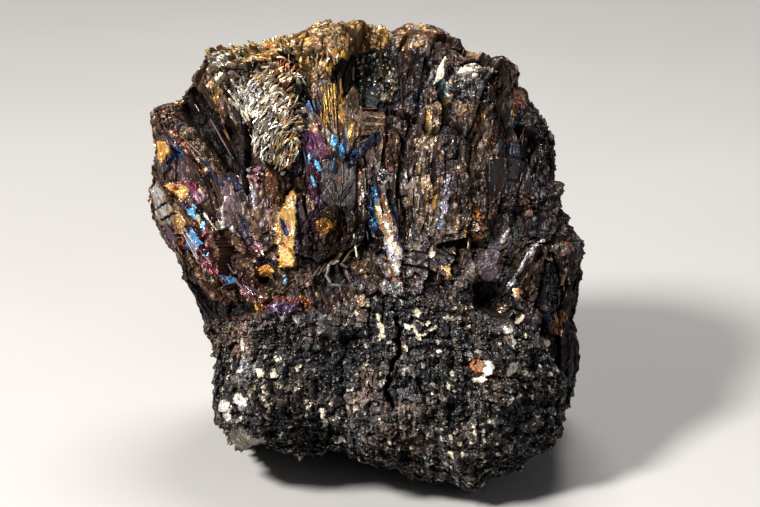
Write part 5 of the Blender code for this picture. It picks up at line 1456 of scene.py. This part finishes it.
for x0, y0, x1, y1, w, names in (
    (500, 152, 506, 106, 9, ("teal", "slate")), (512, 156, 520, 108, 10, ("teal", "slate", "navy")), (524, 158, 530, 116, 9, ("slate", "teal")),
    (494, 146, 496, 112, 7, ("slate", "rust")), (508, 150, 510, 126, 4, ("rust", "brown")), (519, 158, 523, 134, 5, ("indigo", "black")),
):
    blade(dull, x0, y0, x1, y1, w, names + ("black", "umber"), ("grey", "slate", "brown"), lift=1.0, thick=1.4, count=4, roll=rng.normal(0, 24), film=(0.6, 0.04, 0.38), bright=0.8)
# Painted glints in gold and cream.
crystals(dull, 30, 494, 158, 6, 5, ["gold", "yellow", "cream"], (0.12, 0.3), 1.3)
crystals(dull, 150, 546, 150, 8, 26, ["black", "black", "slate", "umber"], (0.25, 0.6), 0.5, spread=1.4, angle=-12)
crystals(dull, 14, 548, 146, 8, 20, ["grey", "ash"], (0.12, 0.25), 1.0, spread=1.4)
crystals(dull, 60, 558, 190, 7, 9, ["umber", "slate", "grey", "brown"], (0.25, 0.6), 0.2, spread=1.2)
crystals(dull, 80, 578, 250, 6, 12, ["umber", "slate", "black"], (0.25, 0.6), 0.0, spread=1.2)

# ---- the foliated crust ------------------------------------------------------------------------------------
crust = Batch()
BRIGHT, GOLDEN, DARK = ["white", "cream", "cream", "ash"], ["cream", "tan", "gold", "tan", "bronze"], ["black", "umber", "umber", "brown"]
slivers(crust, 100, 240, 104, 10, 20, -18, BRIGHT, (1.0, 2.4), 0.7, (0.12, 0.3), 0.45, way_spread=0.16, bend=0.5, tilt=0.1)
slivers(crust, 170, 260, 94, 15, 16, 38, BRIGHT, (0.9, 2.2), 0.7, (0.12, 0.32), 0.5, way_spread=0.18, bend=0.5, tilt=0.1)
slivers(crust, 200, 272, 118, 17, 20, 36, BRIGHT + ["tan", "white"], (0.9, 2.2), 0.7, (0.12, 0.3), 0.5, way_spread=0.2, bend=0.5, tilt=0.1)
slivers(crust, 110, 290, 120, 10, 26, 56, GOLDEN + ["tan", "umber", "white"], (0.8, 2.0), 0.7, (0.1, 0.26), 0.4, way_spread=0.2, bend=0.4, tilt=0.1)
slivers(crust, 130, 284, 150, 14, 18, 28, BRIGHT + GOLDEN, (0.9, 2.2), 0.7, (0.1, 0.26), 0.4, way_spread=0.2, bend=0.4, tilt=0.1)
slivers(crust, 80, 264, 140, 11, 18, 8, BRIGHT, (0.9, 2.0), 0.7, (0.1, 0.28), 0.4, way_spread=0.2, bend=0.4, tilt=0.1)
slivers(crust, 40, 268, 76, 26, 10, 50, GOLDEN, (0.8, 1.9), 0.6, (0.16, 0.36), 0.2, swirl=0.8, tilt=0.1)
slivers(crust, 30, 284, 76, 16, 16, 30, ["rust", "orange", "tan"], (0.7, 1.6), 0.6, (0.14, 0.3), 0.1, swirl=0.8, tilt=0.1)
slivers(crust, 50, 322, 52, 28, 12, 4, GOLDEN + ["olive"], (0.9, 2.4), 0.5, (0.12, 0.3), 0.0, angle=-8, tilt=0.08)
# Painted highlights: white flakes at the upper left of the crust.
flake(crust, [(209, 63), (207, 57), (214, 53), (221, 55), (228, 60), (226, 66), (218, 66)], "white", 1.4, (0.1, 0.05, 0.32), dome=0.5)
flake(crust, [(228, 62), (237, 58), (244, 57), (246, 60), (238, 63)], "white", 1.3, (0.1, 0.05, 0.32), dome=0.3)
flake(iris, [(256, 76), (260, 73), (263, 76), (261, 82), (257, 81)], "gold", 1.8, (0.10, 0.6, 0.3), dome=0.4)
flake(iris, [(341, 50), (345, 45), (349, 47), (348, 56), (343, 58)], "gold", 1.8, (0.08, 0.5, 0.35), dome=0.6)
patch([(290, 40), (310, 24), (340, 19), (354, 20), (352, 44), (338, 56), (326, 74), (308, 82), (298, 66)], ("gold", "tan", "olive", "tan", "bronze", "bronze"), (0.08, 0.10, 0.38), 0.2, 0.0, 0.74)
patch([(350, 18), (372, 21), (390, 26), (386, 40), (366, 46), (352, 44)], ("tan", "brown", "gold", "bronze", "tan", "olive"), (0.1, 0.08, 0.38), 0.3, 0.0, 0.76)
patch([(390, 30), (408, 24), (424, 24), (438, 34), (432, 42), (410, 40), (396, 44)], ("tan", "mauve", "brown", "tan", "grey", "gold"), (0.1, 0.1, 0.35), 0.4, 0.1, 0.85)
patch([(206, 58), (222, 46), (244, 44), (282, 36), (296, 34), (296, 48), (270, 58), (240, 66), (222, 64)], ("tan", "gold", "cream", "olive", "tan", "bronze"), (0.1, 0.1, 0.35), 0.2, 0.0, 0.75)

# ---- the matrix: pale flakes, the rosette and the translucent point ----------------------------------------
for corners, name in (
    ([(237, 341), (240, 340), (243, 346), (243, 353), (240, 352), (238, 346)], "white"), ([(255, 371), (259, 370), (263, 373), (262, 378), (256, 380)], "cream"),
    ([(268, 375), (274, 373), (281, 375), (277, 379), (270, 379)], "cream"), ([(271, 361), (277, 358), (281, 357), (280, 362), (274, 364)], "cream"),
    ([(231, 397), (237, 398), (246, 402), (245, 409), (239, 410), (233, 405)], "white"), ([(218, 405), (224, 400), (229, 403), (228, 411), (222, 414), (218, 411)], "white"),
    ([(222, 415), (230, 412), (232, 420), (227, 424)], "white"), ([(235, 420), (241, 419), (240, 424), (233, 424)], "cream"),
    ([(375, 314), (378, 313), (381, 317), (380, 322), (384, 325), (383, 331), (384, 337), (380, 343), (378, 338), (380, 332), (377, 328), (379, 323), (376, 319)], "cream"),
    ([(392, 322), (401, 322), (401, 324), (394, 326)], "white"), ([(404, 324), (409, 325), (412, 329), (408, 331), (404, 328)], "white"),
    ([(412, 327), (416, 330), (420, 335), (428, 336), (424, 338), (417, 337), (414, 332)], "cream"), ([(426, 326), (431, 322), (432, 325), (428, 328)], "white"),
    ([(430, 332), (435, 328), (438, 327), (434, 333)], "cream"), ([(228, 432), (240, 428), (250, 438), (266, 435), (270, 440), (254, 450), (243, 452), (233, 446)], "olive"),
    ([(503, 329), (508, 326), (516, 327), (515, 333), (508, 336), (504, 334)], "white"), ([(512, 340), (517, 340), (519, 346), (514, 349)], "white"),
    ([(519, 324), (525, 315), (527, 317), (521, 326)], "cream"), ([(485, 363), (492, 361), (495, 367), (492, 376), (486, 378), (484, 370)], "white"),
    ([(475, 379), (484, 378), (490, 380), (484, 385), (476, 384)], "cream"), ([(545, 341), (552, 340), (554, 347), (548, 350)], "cream"),
    ([(507, 370), (512, 364), (519, 362), (520, 368), (513, 375), (508, 377)], "ash"), ([(449, 385), (453, 386), (452, 393), (449, 392)], "cream"),
    ([(468, 394), (473, 395), (471, 399)], "cream"), ([(353, 405), (357, 403), (359, 409), (355, 412)], "cream"), ([(344, 424), (349, 423), (349, 428), (344, 428)], "cream"),
    ([(319, 411), (324, 410), (325, 415), (320, 416)], "white"), ([(321, 422), (327, 421), (328, 429), (323, 430)], "ash"), ([(287, 427), (293, 425), (292, 429), (288, 430)], "cream"),
    ([(279, 434), (284, 432), (282, 438)], "white"), ([(294, 369), (299, 368), (300, 373), (296, 373)], "cream"), ([(296, 384), (300, 382), (300, 387)], "white"),
    ([(264, 406), (273, 401), (273, 404), (265, 409)], "cream"), ([(410, 437), (418, 434), (419, 439), (412, 441)], "cream"), ([(397, 452), (401, 451), (401, 456)], "white"),
    ([(437, 352), (442, 350), (443, 355), (438, 356)], "white"), ([(523, 372), (529, 370), (529, 376), (524, 377)], "cream"), ([(531, 398), (536, 396), (536, 402)], "white"),
    ([(508, 402), (513, 401), (514, 406), (509, 407)], "cream"), ([(470, 440), (475, 438), (476, 443), (471, 444)], "cream"), ([(538, 366), (542, 364), (543, 369)], "white"),
):
    patch(corners, ("olive", "grey", "tan", "ash", "grey", "olive") if name == "olive" else (name, name, name, "cream", name, name), (0.1, 0.0, 0.4), 0.45, 0.97, 0.86, 0.3)
patch([(473, 366), (478, 362), (485, 363), (488, 369), (485, 375), (477, 375)], ("orange", "tan", "salmon", "orange"), lift=0.3, flat=0.2, bright=0.75)
patch([(236, 360), (246, 358), (255, 364), (254, 376), (248, 386), (240, 380)], ("silver", "ash", "grey", "slate"), lift=0.1, flat=0.1, bright=0.55)
patch([(317, 324), (326, 320), (336, 324), (335, 333), (325, 340), (317, 332)], ("ash", "grey", "ash"), lift=0.2, flat=0.5, bright=0.5)
patch([(263, 303), (282, 300), (302, 306), (300, 315), (284, 318), (266, 312)], ("purple", "mauve", "indigo", "ash"), (0.42, 0.3, 0.35), 0.1, 0.1, 0.6)
patch([(216, 322), (232, 318), (240, 330), (236, 340), (222, 344), (214, 334)], ("bronze", "brown", "umber", "tan", "umber"), lift=0.2, flat=0.3, bright=0.5)

# ---- what shows on top of all this ------------------------------------------------------------------------
for corners, names, film, lift, flat, bright, ragged in (
    # The cracked grey plate at the left edge, turning golden and purple lower down.
    ([(148, 188), (154, 182), (161, 188), (171, 200), (184, 219), (184, 227), (173, 233), (163, 225), (155, 213), (149, 200)], ("ash", "silver", "ash", "tan", "ash"), (0.05, 0.05, 0.4), 0.3, 0.85, 0.85, 0.3),
    ([(173, 213), (179, 214), (185, 222), (182, 228), (174, 228), (171, 220)], ("tan", "gold", "salmon", "ash"), (0.12, 0.3, 0.4), 0.8, 0.8, 0.75, 0.6),
    ([(162, 225), (171, 223), (174, 231), (180, 238), (176, 243), (168, 236)], ("purple", "umber", "mauve", "brown"), (0.44, 0.3, 0.4), 0.6, 0.6, 0.6, 0.6),
    ([(152, 208), (165, 201), (166, 203), (153, 210)], ("black",), (0, 0, 0.5), 0.5, 0.5, 0.5, 0.3), ([(160, 219), (173, 211), (174, 213), (161, 221)], ("black",), (0, 0, 0.5), 0.5, 0.5, 0.5, 0.3),
    ([(154, 181), (158, 181), (174, 200), (190, 222), (188, 226), (170, 202)], ("umber", "tan", "black", "bronze"), (0.1, 0.1, 0.4), 0.4, 0.3, 0.6, 0.4),
    ([(166, 184), (176, 182), (184, 184), (188, 192), (182, 202), (174, 195)], ("cream", "tan", "salmon", "gold"), (0.1, 0.25, 0.35), 0.8, 0.6, 0.8, 0.6),
    ([(176, 180), (190, 179), (197, 190), (203, 202), (199, 206), (192, 197), (186, 188)], ("pink", "magenta", "lilac", "umber", "salmon", "sky"), (0.36, 0.4, 0.3), 0.7, 0.2, 0.65, 0.8),
    ([(178, 202), (186, 200), (191, 206), (186, 211), (180, 208)], ("purple", "rust", "indigo", "umber"), (0.42, 0.4, 0.35), 0.4, 0.3, 0.55, 0.7),
    # The strip of sky blue, gold and cyan.
    ([(184, 208), (191, 207), (195, 212), (193, 219), (188, 215)], ("sky", "cyan", "sky"), (0.76, 0.7, 0.28), 0.9, 0.8, 0.75, 0.3),
    ([(193, 217), (196, 213), (200, 219), (199, 226)], ("gold", "cream"), (0.08, 0.5, 0.28), 0.9, 0.8, 0.8, 0.3),
    ([(199, 226), (201, 219), (206, 225), (206, 234), (202, 231)], ("cyan", "sky"), (0.82, 0.7, 0.28), 0.9, 0.8, 0.75, 0.3),
    ([(206, 222), (209, 230), (214, 242), (222, 254), (231, 266), (227, 266), (216, 252), (208, 240), (203, 234)], ("magenta", "umber", "purple", "rust", "salmon", "black"), (0.36, 0.4, 0.33), 0.4, 0.1, 0.5, 0.7),
    # Sky-blue facets in a magenta net.
    ([(178, 248), (196, 258), (214, 282), (236, 300), (226, 306), (206, 292), (190, 272)], ("umber", "black", "brown", "tan", "black", "umber"), (0.3, 0.05, 0.4), 0.1, 0.0, 0.5, 1.0),
    ([(206, 236), (222, 226), (236, 236), (256, 262), (268, 292), (256, 296), (242, 280), (226, 262)], ("umber", "black", "brown", "bronze", "black", "tan"), (0.3, 0.05, 0.4), 0.0, 0.0, 0.45, 1.0),
    ([(184, 224), (196, 226), (206, 240), (216, 250), (228, 262), (240, 278), (238, 288), (222, 287), (208, 270), (194, 255), (181, 247), (181, 234)],
     ("rust", "magenta", "umber", "brown", "black", "umber"), (0.31, 0.08, 0.33), 0.3, 0.0, 0.5, 0.9),
    ([(189, 226), (196, 234), (204, 243), (196, 251), (183, 245), (187, 233)], ("sky", "sky", "cyan", "sky", "blue", "sky"), (0.74, 0.6, 0.26), 0.7, 0.9, 0.62, 0.3),
    ([(191, 240), (203, 244), (196, 251), (184, 245)], ("blue", "sky", "blue"), (0.70, 0.7, 0.26), 0.7, 0.9, 0.6, 0.3),
    ([(204, 252), (212, 253), (222, 264), (219, 269), (207, 259)], ("sky", "cyan", "sky", "blue"), (0.76, 0.6, 0.26), 0.7, 0.85, 0.65, 0.4),
    ([(218, 275), (227, 274), (237, 282), (226, 285)], ("sky", "blue", "cyan"), (0.76, 0.6, 0.26), 0.6, 0.85, 0.65, 0.4),
    ([(240, 284), (248, 286), (250, 296), (244, 300), (238, 292)], ("pink", "mauve", "tan", "umber"), (0.36, 0.3, 0.33), 0.3, 0.1, 0.6, 0.8),
    # The gold patch with its blue border.
    ([(155, 141), (162, 139), (171, 147), (172, 152), (166, 156), (160, 162), (155, 156)], ("gold", "yellow", "orange", "gold"), (0.09, 0.5, 0.33), 0.6, 0.6, 0.85, 0.6),
    ([(171, 143), (177, 144), (179, 152), (174, 160), (168, 163), (172, 153)], ("slate", "slate", "umber", "navy", "blue", "mauve"), (0.62, 0.06, 0.38), 0.4, 0.3, 0.55, 1.0),
    ([(158, 163), (167, 160), (172, 168), (164, 174)], ("indigo", "slate", "mauve", "brown", "umber", "blue"), (0.60, 0.05, 0.4), 0.4, 0.4, 0.5, 1.0),
    # A magenta ring about a blue heart, and a white-blue streak.
    ([(251, 240), (260, 239), (264, 246), (264, 255), (258, 256), (252, 250)], ("magenta", "salmon", "purple", "umber"), (0.34, 0.4, 0.33), 0.5, 0.1, 0.55, 0.6),
    ([(255, 243), (260, 243), (261, 248), (256, 249)], ("blue", "sky"), (0.70, 0.7, 0.26), 0.7, 0.6, 0.65, 0.3), ([(260, 250), (264, 249), (265, 256), (261, 255)], ("cream",), (0.1, 0.1, 0.3), 0.7, 0.6, 0.9, 0.4),
    ([(243, 180), (261, 180), (264, 200), (262, 222), (250, 222), (245, 200)], ("umber", "black", "brown", "mauve", "tan", "black"), (0.3, 0.02, 0.4), 0.2, 0.1, 0.5, 0.8),
    ([(248, 184), (251, 183), (253, 194), (256, 212), (254, 212), (250, 196)], ("silver", "lilac", "white", "sky"), (0.6, 0.15, 0.26), 0.7, 0.7, 0.85, 0.3),
    ([(386, 190), (392, 190), (397, 204), (401, 226), (396, 224), (389, 208)], ("black", "umber", "black", "indigo"), (0.45, 0.05, 0.4), -0.4, 0.6, 0.3, 0.5),
    ([(262, 267), (268, 264), (274, 270), (272, 277), (264, 276)], ("orange", "gold", "rust"), (0.12, 0.3, 0.35), -0.6, 0.6, 0.75, 0.6),
    # The gold blade with its dark blue streak.
    ([(291, 187), (297, 196), (297, 224), (295, 238), (294, 255), (292, 267), (280, 267), (276, 256), (275, 236), (276, 214), (285, 203)],
     ("gold", "cream", "tan", "gold", "salmon", "yellow"), (0.08, 0.35, 0.32), 1.6, 0.85, 0.75, 0.4),
    # Painted highlight: the yellow band at the blade's right side.
    ([(289, 206), (296, 208), (296, 232), (292, 236), (290, 222)], ("yellow", "cream", "gold"), (0.06, 0.4, 0.3), 1.8, 0.9, 0.9, 0.35),
    ([(279, 217), (283, 219), (288, 230), (289, 237), (285, 235), (281, 227)], ("indigo", "navy", "slate"), (0.58, 0.4, 0.3), 1.5, 0.9, 0.55, 0.3),
    ([(297, 205), (305, 205), (310, 232), (308, 262), (301, 268), (298, 240)], ("umber", "black", "black", "mauve", "umber", "brown"), (0.5, 0.03, 0.4), -0.2, 0.1, 0.42, 0.9),
    ([(296, 226), (299, 226), (301, 250), (299, 268), (296, 266), (295, 244)], ("lilac", "indigo", "mauve", "umber", "umber", "slate"), (0.56, 0.15, 0.3), 0.9, 0.3, 0.6, 0.6),
    ([(262, 303), (280, 302), (300, 308), (300, 313), (280, 311), (264, 308)], ("purple", "lilac", "mauve", "umber"), (0.44, 0.3, 0.33), 0.5, 0.1, 0.6, 0.8),
    # The dark valley at the left, and the dark side of the plates by it: painted shade, all but black.
    ([(183, 97), (193, 90), (204, 94), (211, 108), (223, 134), (238, 164), (233, 171), (220, 160), (204, 140), (190, 122), (183, 110)], ("black", "black", "umber", "black"), DEEP, -3.6, 0.2, 0.11, 0.6),
    ([(222, 118), (230, 116), (240, 134), (250, 156), (252, 172), (244, 172), (236, 150)], ("umber", "black", "brown"), DEEP, -1.0, 0.5, 0.35, 0.6),
    # The smooth grey-brown plate, and the block with its plates across.
    ([(322, 162), (336, 158), (347, 166), (357, 160), (357, 200), (348, 206), (331, 209), (320, 198), (319, 178)], ("slate", "slate", "grey", "slate", "slate", "brown"), (0.1, 0.02, 0.34), 0.5, 0.96, 0.72, 0.5),
    ([(361, 109), (386, 108), (387, 133), (360, 135)], ("brown", "umber", "bronze", "brown"), (0.1, 0.0, 0.4), 1.2, 0.94, 0.6, 0.35),
    ([(367, 114), (386, 114), (386, 116), (367, 116)], ("tan",), (0.1, 0.0, 0.4), 1.5, 0.9, 0.8, 0.3), ([(366, 122), (384, 123), (384, 125), (366, 124)], ("tan",), (0.1, 0.0, 0.4), 1.5, 0.9, 0.8, 0.3),
    ([(363, 119), (385, 119), (385, 120), (363, 120)], ("black",), (0.1, 0.0, 0.4), 1.0, 0.9, 0.6, 0.3), ([(362, 128), (383, 128), (383, 129), (362, 129)], ("black",), (0.1, 0.0, 0.4), 1.0, 0.9, 0.6, 0.3),
    ([(352, 150), (372, 134), (381, 132), (379, 140), (366, 152), (354, 160), (347, 163)], ("navy", "black", "navy", "black", "blue", "black"), (0.6, 0.04, 0.32), 0.8, 0.2, 0.6, 0.5),
    ([(344, 156), (356, 154), (358, 162), (348, 168)], ("black", "navy", "slate"), (0.6, 0.1, 0.35), -0.4, 0.3, 0.4, 0.7),
    ([(344, 96), (353, 88), (361, 94), (362, 112), (356, 134), (349, 146), (344, 124)], ("brown", "mauve", "grey", "brown", "bronze"), (0.1, 0.05, 0.4), 0.5, 0.75, 0.55, 0.6),
    ([(364, 80), (378, 77), (380, 96), (374, 105), (364, 102)], ("slate", "black", "teal", "slate"), (0.5, 0.05, 0.4), -0.2, 0.85, 0.36, 0.6),
    # Smooth dark plates at the right, with their pale edges painted as highlights.
    ([(486, 156), (502, 152), (508, 172), (505, 194), (490, 200), (484, 182)], ("slate", "black", "umber", "slate"), (0.5, 0.02, 0.36), 0.3, 0.9, 0.34, 0.6),
    ([(486, 222), (500, 212), (512, 222), (510, 240), (498, 250), (485, 246)], ("black", "slate", "umber", "slate"), (0.5, 0.02, 0.36), 0.2, 0.9, 0.36, 0.6),
    ([(514, 206), (526, 204), (532, 216), (528, 234), (516, 240), (511, 224)], ("black", "umber", "slate"), (0.5, 0.02, 0.4), -0.6, 0.5, 0.3, 0.6),
    ([(484, 250), (498, 252), (506, 262), (500, 278), (488, 283), (480, 268)], ("grey", "slate", "mauve", "slate"), (0.45, 0.05, 0.38), 0.2, 0.85, 0.45, 0.7),
    ([(541, 238), (543, 240), (532, 257), (520, 278), (512, 288), (510, 285), (518, 272), (530, 252)], ("ash", "silver", "grey", "ash"), (0.3, 0.0, 0.32), 0.8, 0.6, 0.75, 0.3),
    ([(511, 227), (513, 229), (507, 242), (502, 246), (504, 238)], ("ash", "grey", "silver"), (0.3, 0.0, 0.32), 0.6, 0.6, 0.65, 0.3),
    ([(526, 210), (533, 208), (534, 215), (528, 216)], ("pink", "ash", "umber", "tan"), (0.3, 0.0, 0.35), 0.4, 0.1, 0.6, 0.6),
    ([(554, 314), (560, 311), (566, 314), (564, 332), (559, 345), (554, 340)], ("salmon", "umber", "rust", "pink", "brown", "tan"), (0.2, 0.2, 0.35), 0.3, 0.1, 0.45, 0.9),
    # Painted shade: black on the plates behind the right edge.
    ([(565, 300), (576, 296), (578, 330), (572, 332), (568, 350), (563, 344), (567, 318)], ("black", "umber", "black"), (0.3, 0.0, 0.5), 0.0, 0.2, 0.3, 0.6),
    ([(546, 252), (552, 246), (560, 248), (568, 244), (572, 250), (564, 257), (556, 262), (550, 260)], ("mauve", "salmon", "umber", "ash", "brown"), (0.3, 0.0, 0.4), 0.3, 0.3, 0.5, 0.8),
    ([(572, 240), (584, 246), (584, 256), (578, 262), (572, 254)], ("teal", "slate", "umber"), (0.5, 0.02, 0.45), 0.2, 0.4, 0.4, 0.6),
    # Painted highlights in white and cream at the upper left of the crust.
    ([(207, 60), (211, 53), (218, 52), (226, 56), (231, 61), (224, 65), (216, 66)], ("white", "cream", "ash", "white", "tan", "cream"), (0.1, 0.0, 0.36), 0.5, 0.3, 0.74, 0.8),
    ([(232, 61), (240, 58), (247, 57), (245, 60), (237, 63)], ("white", "cream", "umber", "ash"), (0.1, 0.0, 0.36), 0.5, 0.2, 0.66, 0.8),
    ([(250, 98), (256, 90), (265, 85), (268, 90), (258, 99), (252, 106), (246, 108)], ("white", "cream", "white", "umber"), (0.1, 0.0, 0.32), 1.2, 0.2, 0.95, 1.0),
    ([(256, 74), (261, 72), (264, 77), (260, 82), (256, 80)], ("gold", "yellow", "orange"), (0.10, 0.4, 0.3), 0.9, 0.4, 0.8, 0.6),
    # Blue lobes on the purple ground.
    ([(333, 132), (339, 140), (336, 151), (329, 145)], ("sky", "sky", "cyan", "blue"), (0.74, 0.5, 0.25), 1.0, 0.85, 0.75, 0.3),
    ([(340, 142), (345, 149), (340, 157), (337, 153)], ("sky", "cyan"), (0.78, 0.5, 0.25), 1.0, 0.85, 0.8, 0.3),
    ([(313, 158), (318, 161), (323, 170), (319, 171), (314, 165)], ("cyan", "sky"), (0.80, 0.5, 0.25), 0.9, 0.8, 0.75, 0.3), ([(309, 174), (313, 177), (317, 188), (314, 189)], ("cyan", "sky"), (0.80, 0.5, 0.25), 0.9, 0.8, 0.75, 0.3),
    ([(334, 160), (336, 161), (334, 172), (331, 173)], ("sky", "blue"), (0.74, 0.5, 0.25), 0.9, 0.6, 0.6, 0.3), ([(308, 102), (314, 104), (318, 106), (317, 112), (309, 110)], ("sky", "slate", "teal", "mauve", "navy", "slate"), (0.74, 0.08, 0.34), 0.3, 0.1, 0.55, 1.0),
    # Painted highlights in white and cream at the top right.
    ([(434, 84), (437, 71), (442, 57), (446, 55), (445, 68), (441, 79)], ("white", "cream", "white"), (0.1, 0.0, 0.34), 0.7, 0.8, 0.72, 0.35),
    ([(455, 76), (460, 67), (469, 60), (478, 60), (486, 66), (479, 67), (478, 76), (473, 83), (464, 82), (468, 74), (460, 75)], ("white", "cream", "grey", "ash", "cream", "umber"), (0.1, 0.0, 0.38), 0.3, 0.1, 0.62, 1.0),
    ([(343, 46), (348, 43), (349, 52), (344, 55), (338, 56)], ("yellow", "gold", "tan"), (0.08, 0.4, 0.35), 0.7, 0.5, 0.85, 0.6),
    ([(350, 122), (354, 121), (352, 130), (348, 137), (346, 134)], ("yellow", "gold"), (0.06, 0.3, 0.3), 0.8, 0.6, 0.85, 0.3),
    ([(512, 104), (514, 90), (519, 86), (525, 92), (530, 106), (521, 104)], ("salmon", "tan", "tan", "brown"), (0.15, 0.0, 0.38), 0.3, 0.5, 0.8, 0.5),
    # Striated plates behind, at the lower right, painted black as shade, with a pale tip.
    ([(556, 352), (563, 344), (572, 332), (584, 340), (584, 374), (574, 384), (562, 374)], ("black", "umber", "black", "slate"), (0.3, 0.0, 0.5), -0.3, 0.1, 0.26, 0.8),
    ([(571, 332), (576, 331), (580, 344), (577, 346)], ("cream", "tan"), (0.1, 0.0, 0.4), 0.3, 0.4, 0.6, 0.4),
):
    patch(corners, names, film, lift, flat, bright, ragged)

core_mid, core_normal, core_area, core_share = build_core()
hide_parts("specimen")
dull.build("crystal_plates", PLATE)
iris.build("iridescent_plates", FILM)
crust.build("foliated_crust", CRUST)


# ---- the camera, the floor and the lights ------------------------------------------------------------------
def metres(p):
    return Vector(((np.asarray(p, float) @ AXES) + MIDDLE) * 0.001)


camera_data = bpy.data.cameras.new("camera")
camera_data.sensor_width, camera_data.lens = 36.0, 120.0
camera = bpy.data.objects.new("camera", camera_data)
bpy.context.scene.collection.objects.link(camera)
aim = np.array([(AIM_X - MID_X) * PIXEL, (MID_Y - AIM_Y) * PIXEL, 0.0])
camera.location = metres(aim + np.array([0, 0, EYE]))
turned = Matrix((RIGHT, UP, OUT)).transposed()
camera.rotation_euler = turned.to_euler()
camera_data.clip_start, camera_data.clip_end = 0.01, 20.0
bpy.context.scene.camera = camera


def floor():
    m = Nodes("pale_floor")
    where = m.tree.nodes.new("ShaderNodeTexCoord").outputs["Object"]
    cloud = m.noise(where, 6.0, 3.0, 0.5)
    m.set(m.shader, "Base Color", m.ramp(cloud, [(0.3, (0.39, 0.38, 0.37)), (0.7, (0.435, 0.425, 0.415))]))
    m.shader.inputs["Roughness"].default_value = 0.75
    mesh = bpy.data.meshes.new("studio_floor")
    mesh.from_pydata([(-3, -3, 0), (3, -3, 0), (3, 3, 0), (-3, 3, 0)], [], [(0, 1, 2, 3)])
    mesh.materials.append(m.mat)
    obj = bpy.data.objects.new("studio_floor", mesh)
    bpy.context.scene.collection.objects.link(obj)


floor()


def softbox(name, at, size, power, colour=(1, 1, 1), aim_at=(0, 0, 0.05)):
    data = bpy.data.lights.new(name, "AREA")
    data.shape, data.size, data.energy, data.color = "DISK", size, power, colour
    obj = bpy.data.objects.new(name, data)
    obj.location = at
    obj.rotation_euler = (Vector(aim_at) - Vector(at)).to_track_quat("-Z", "Y").to_euler()
    bpy.context.scene.collection.objects.link(obj)


softbox("key", (-0.42, -0.42, 0.62), 0.16, 14.4, (1.0, 0.97, 0.93))
softbox("top", (0.05, 0.18, 0.70), 0.35, 4.5, (1.0, 0.98, 0.95))
softbox("fill", (0.60, -0.55, 0.30), 0.50, 0.8, (0.93, 0.96, 1.0))
world = bpy.data.worlds.new("studio")
world.use_nodes = True
world.node_tree.nodes["Background"].inputs[0].default_value = (0.32, 0.33, 0.35, 1)
world.node_tree.nodes["Background"].inputs[1].default_value = 0.22
bpy.context.scene.world = world
bpy.context.scene.view_settings.view_transform = "Standard"
bpy.context.scene.view_settings.look = "None"
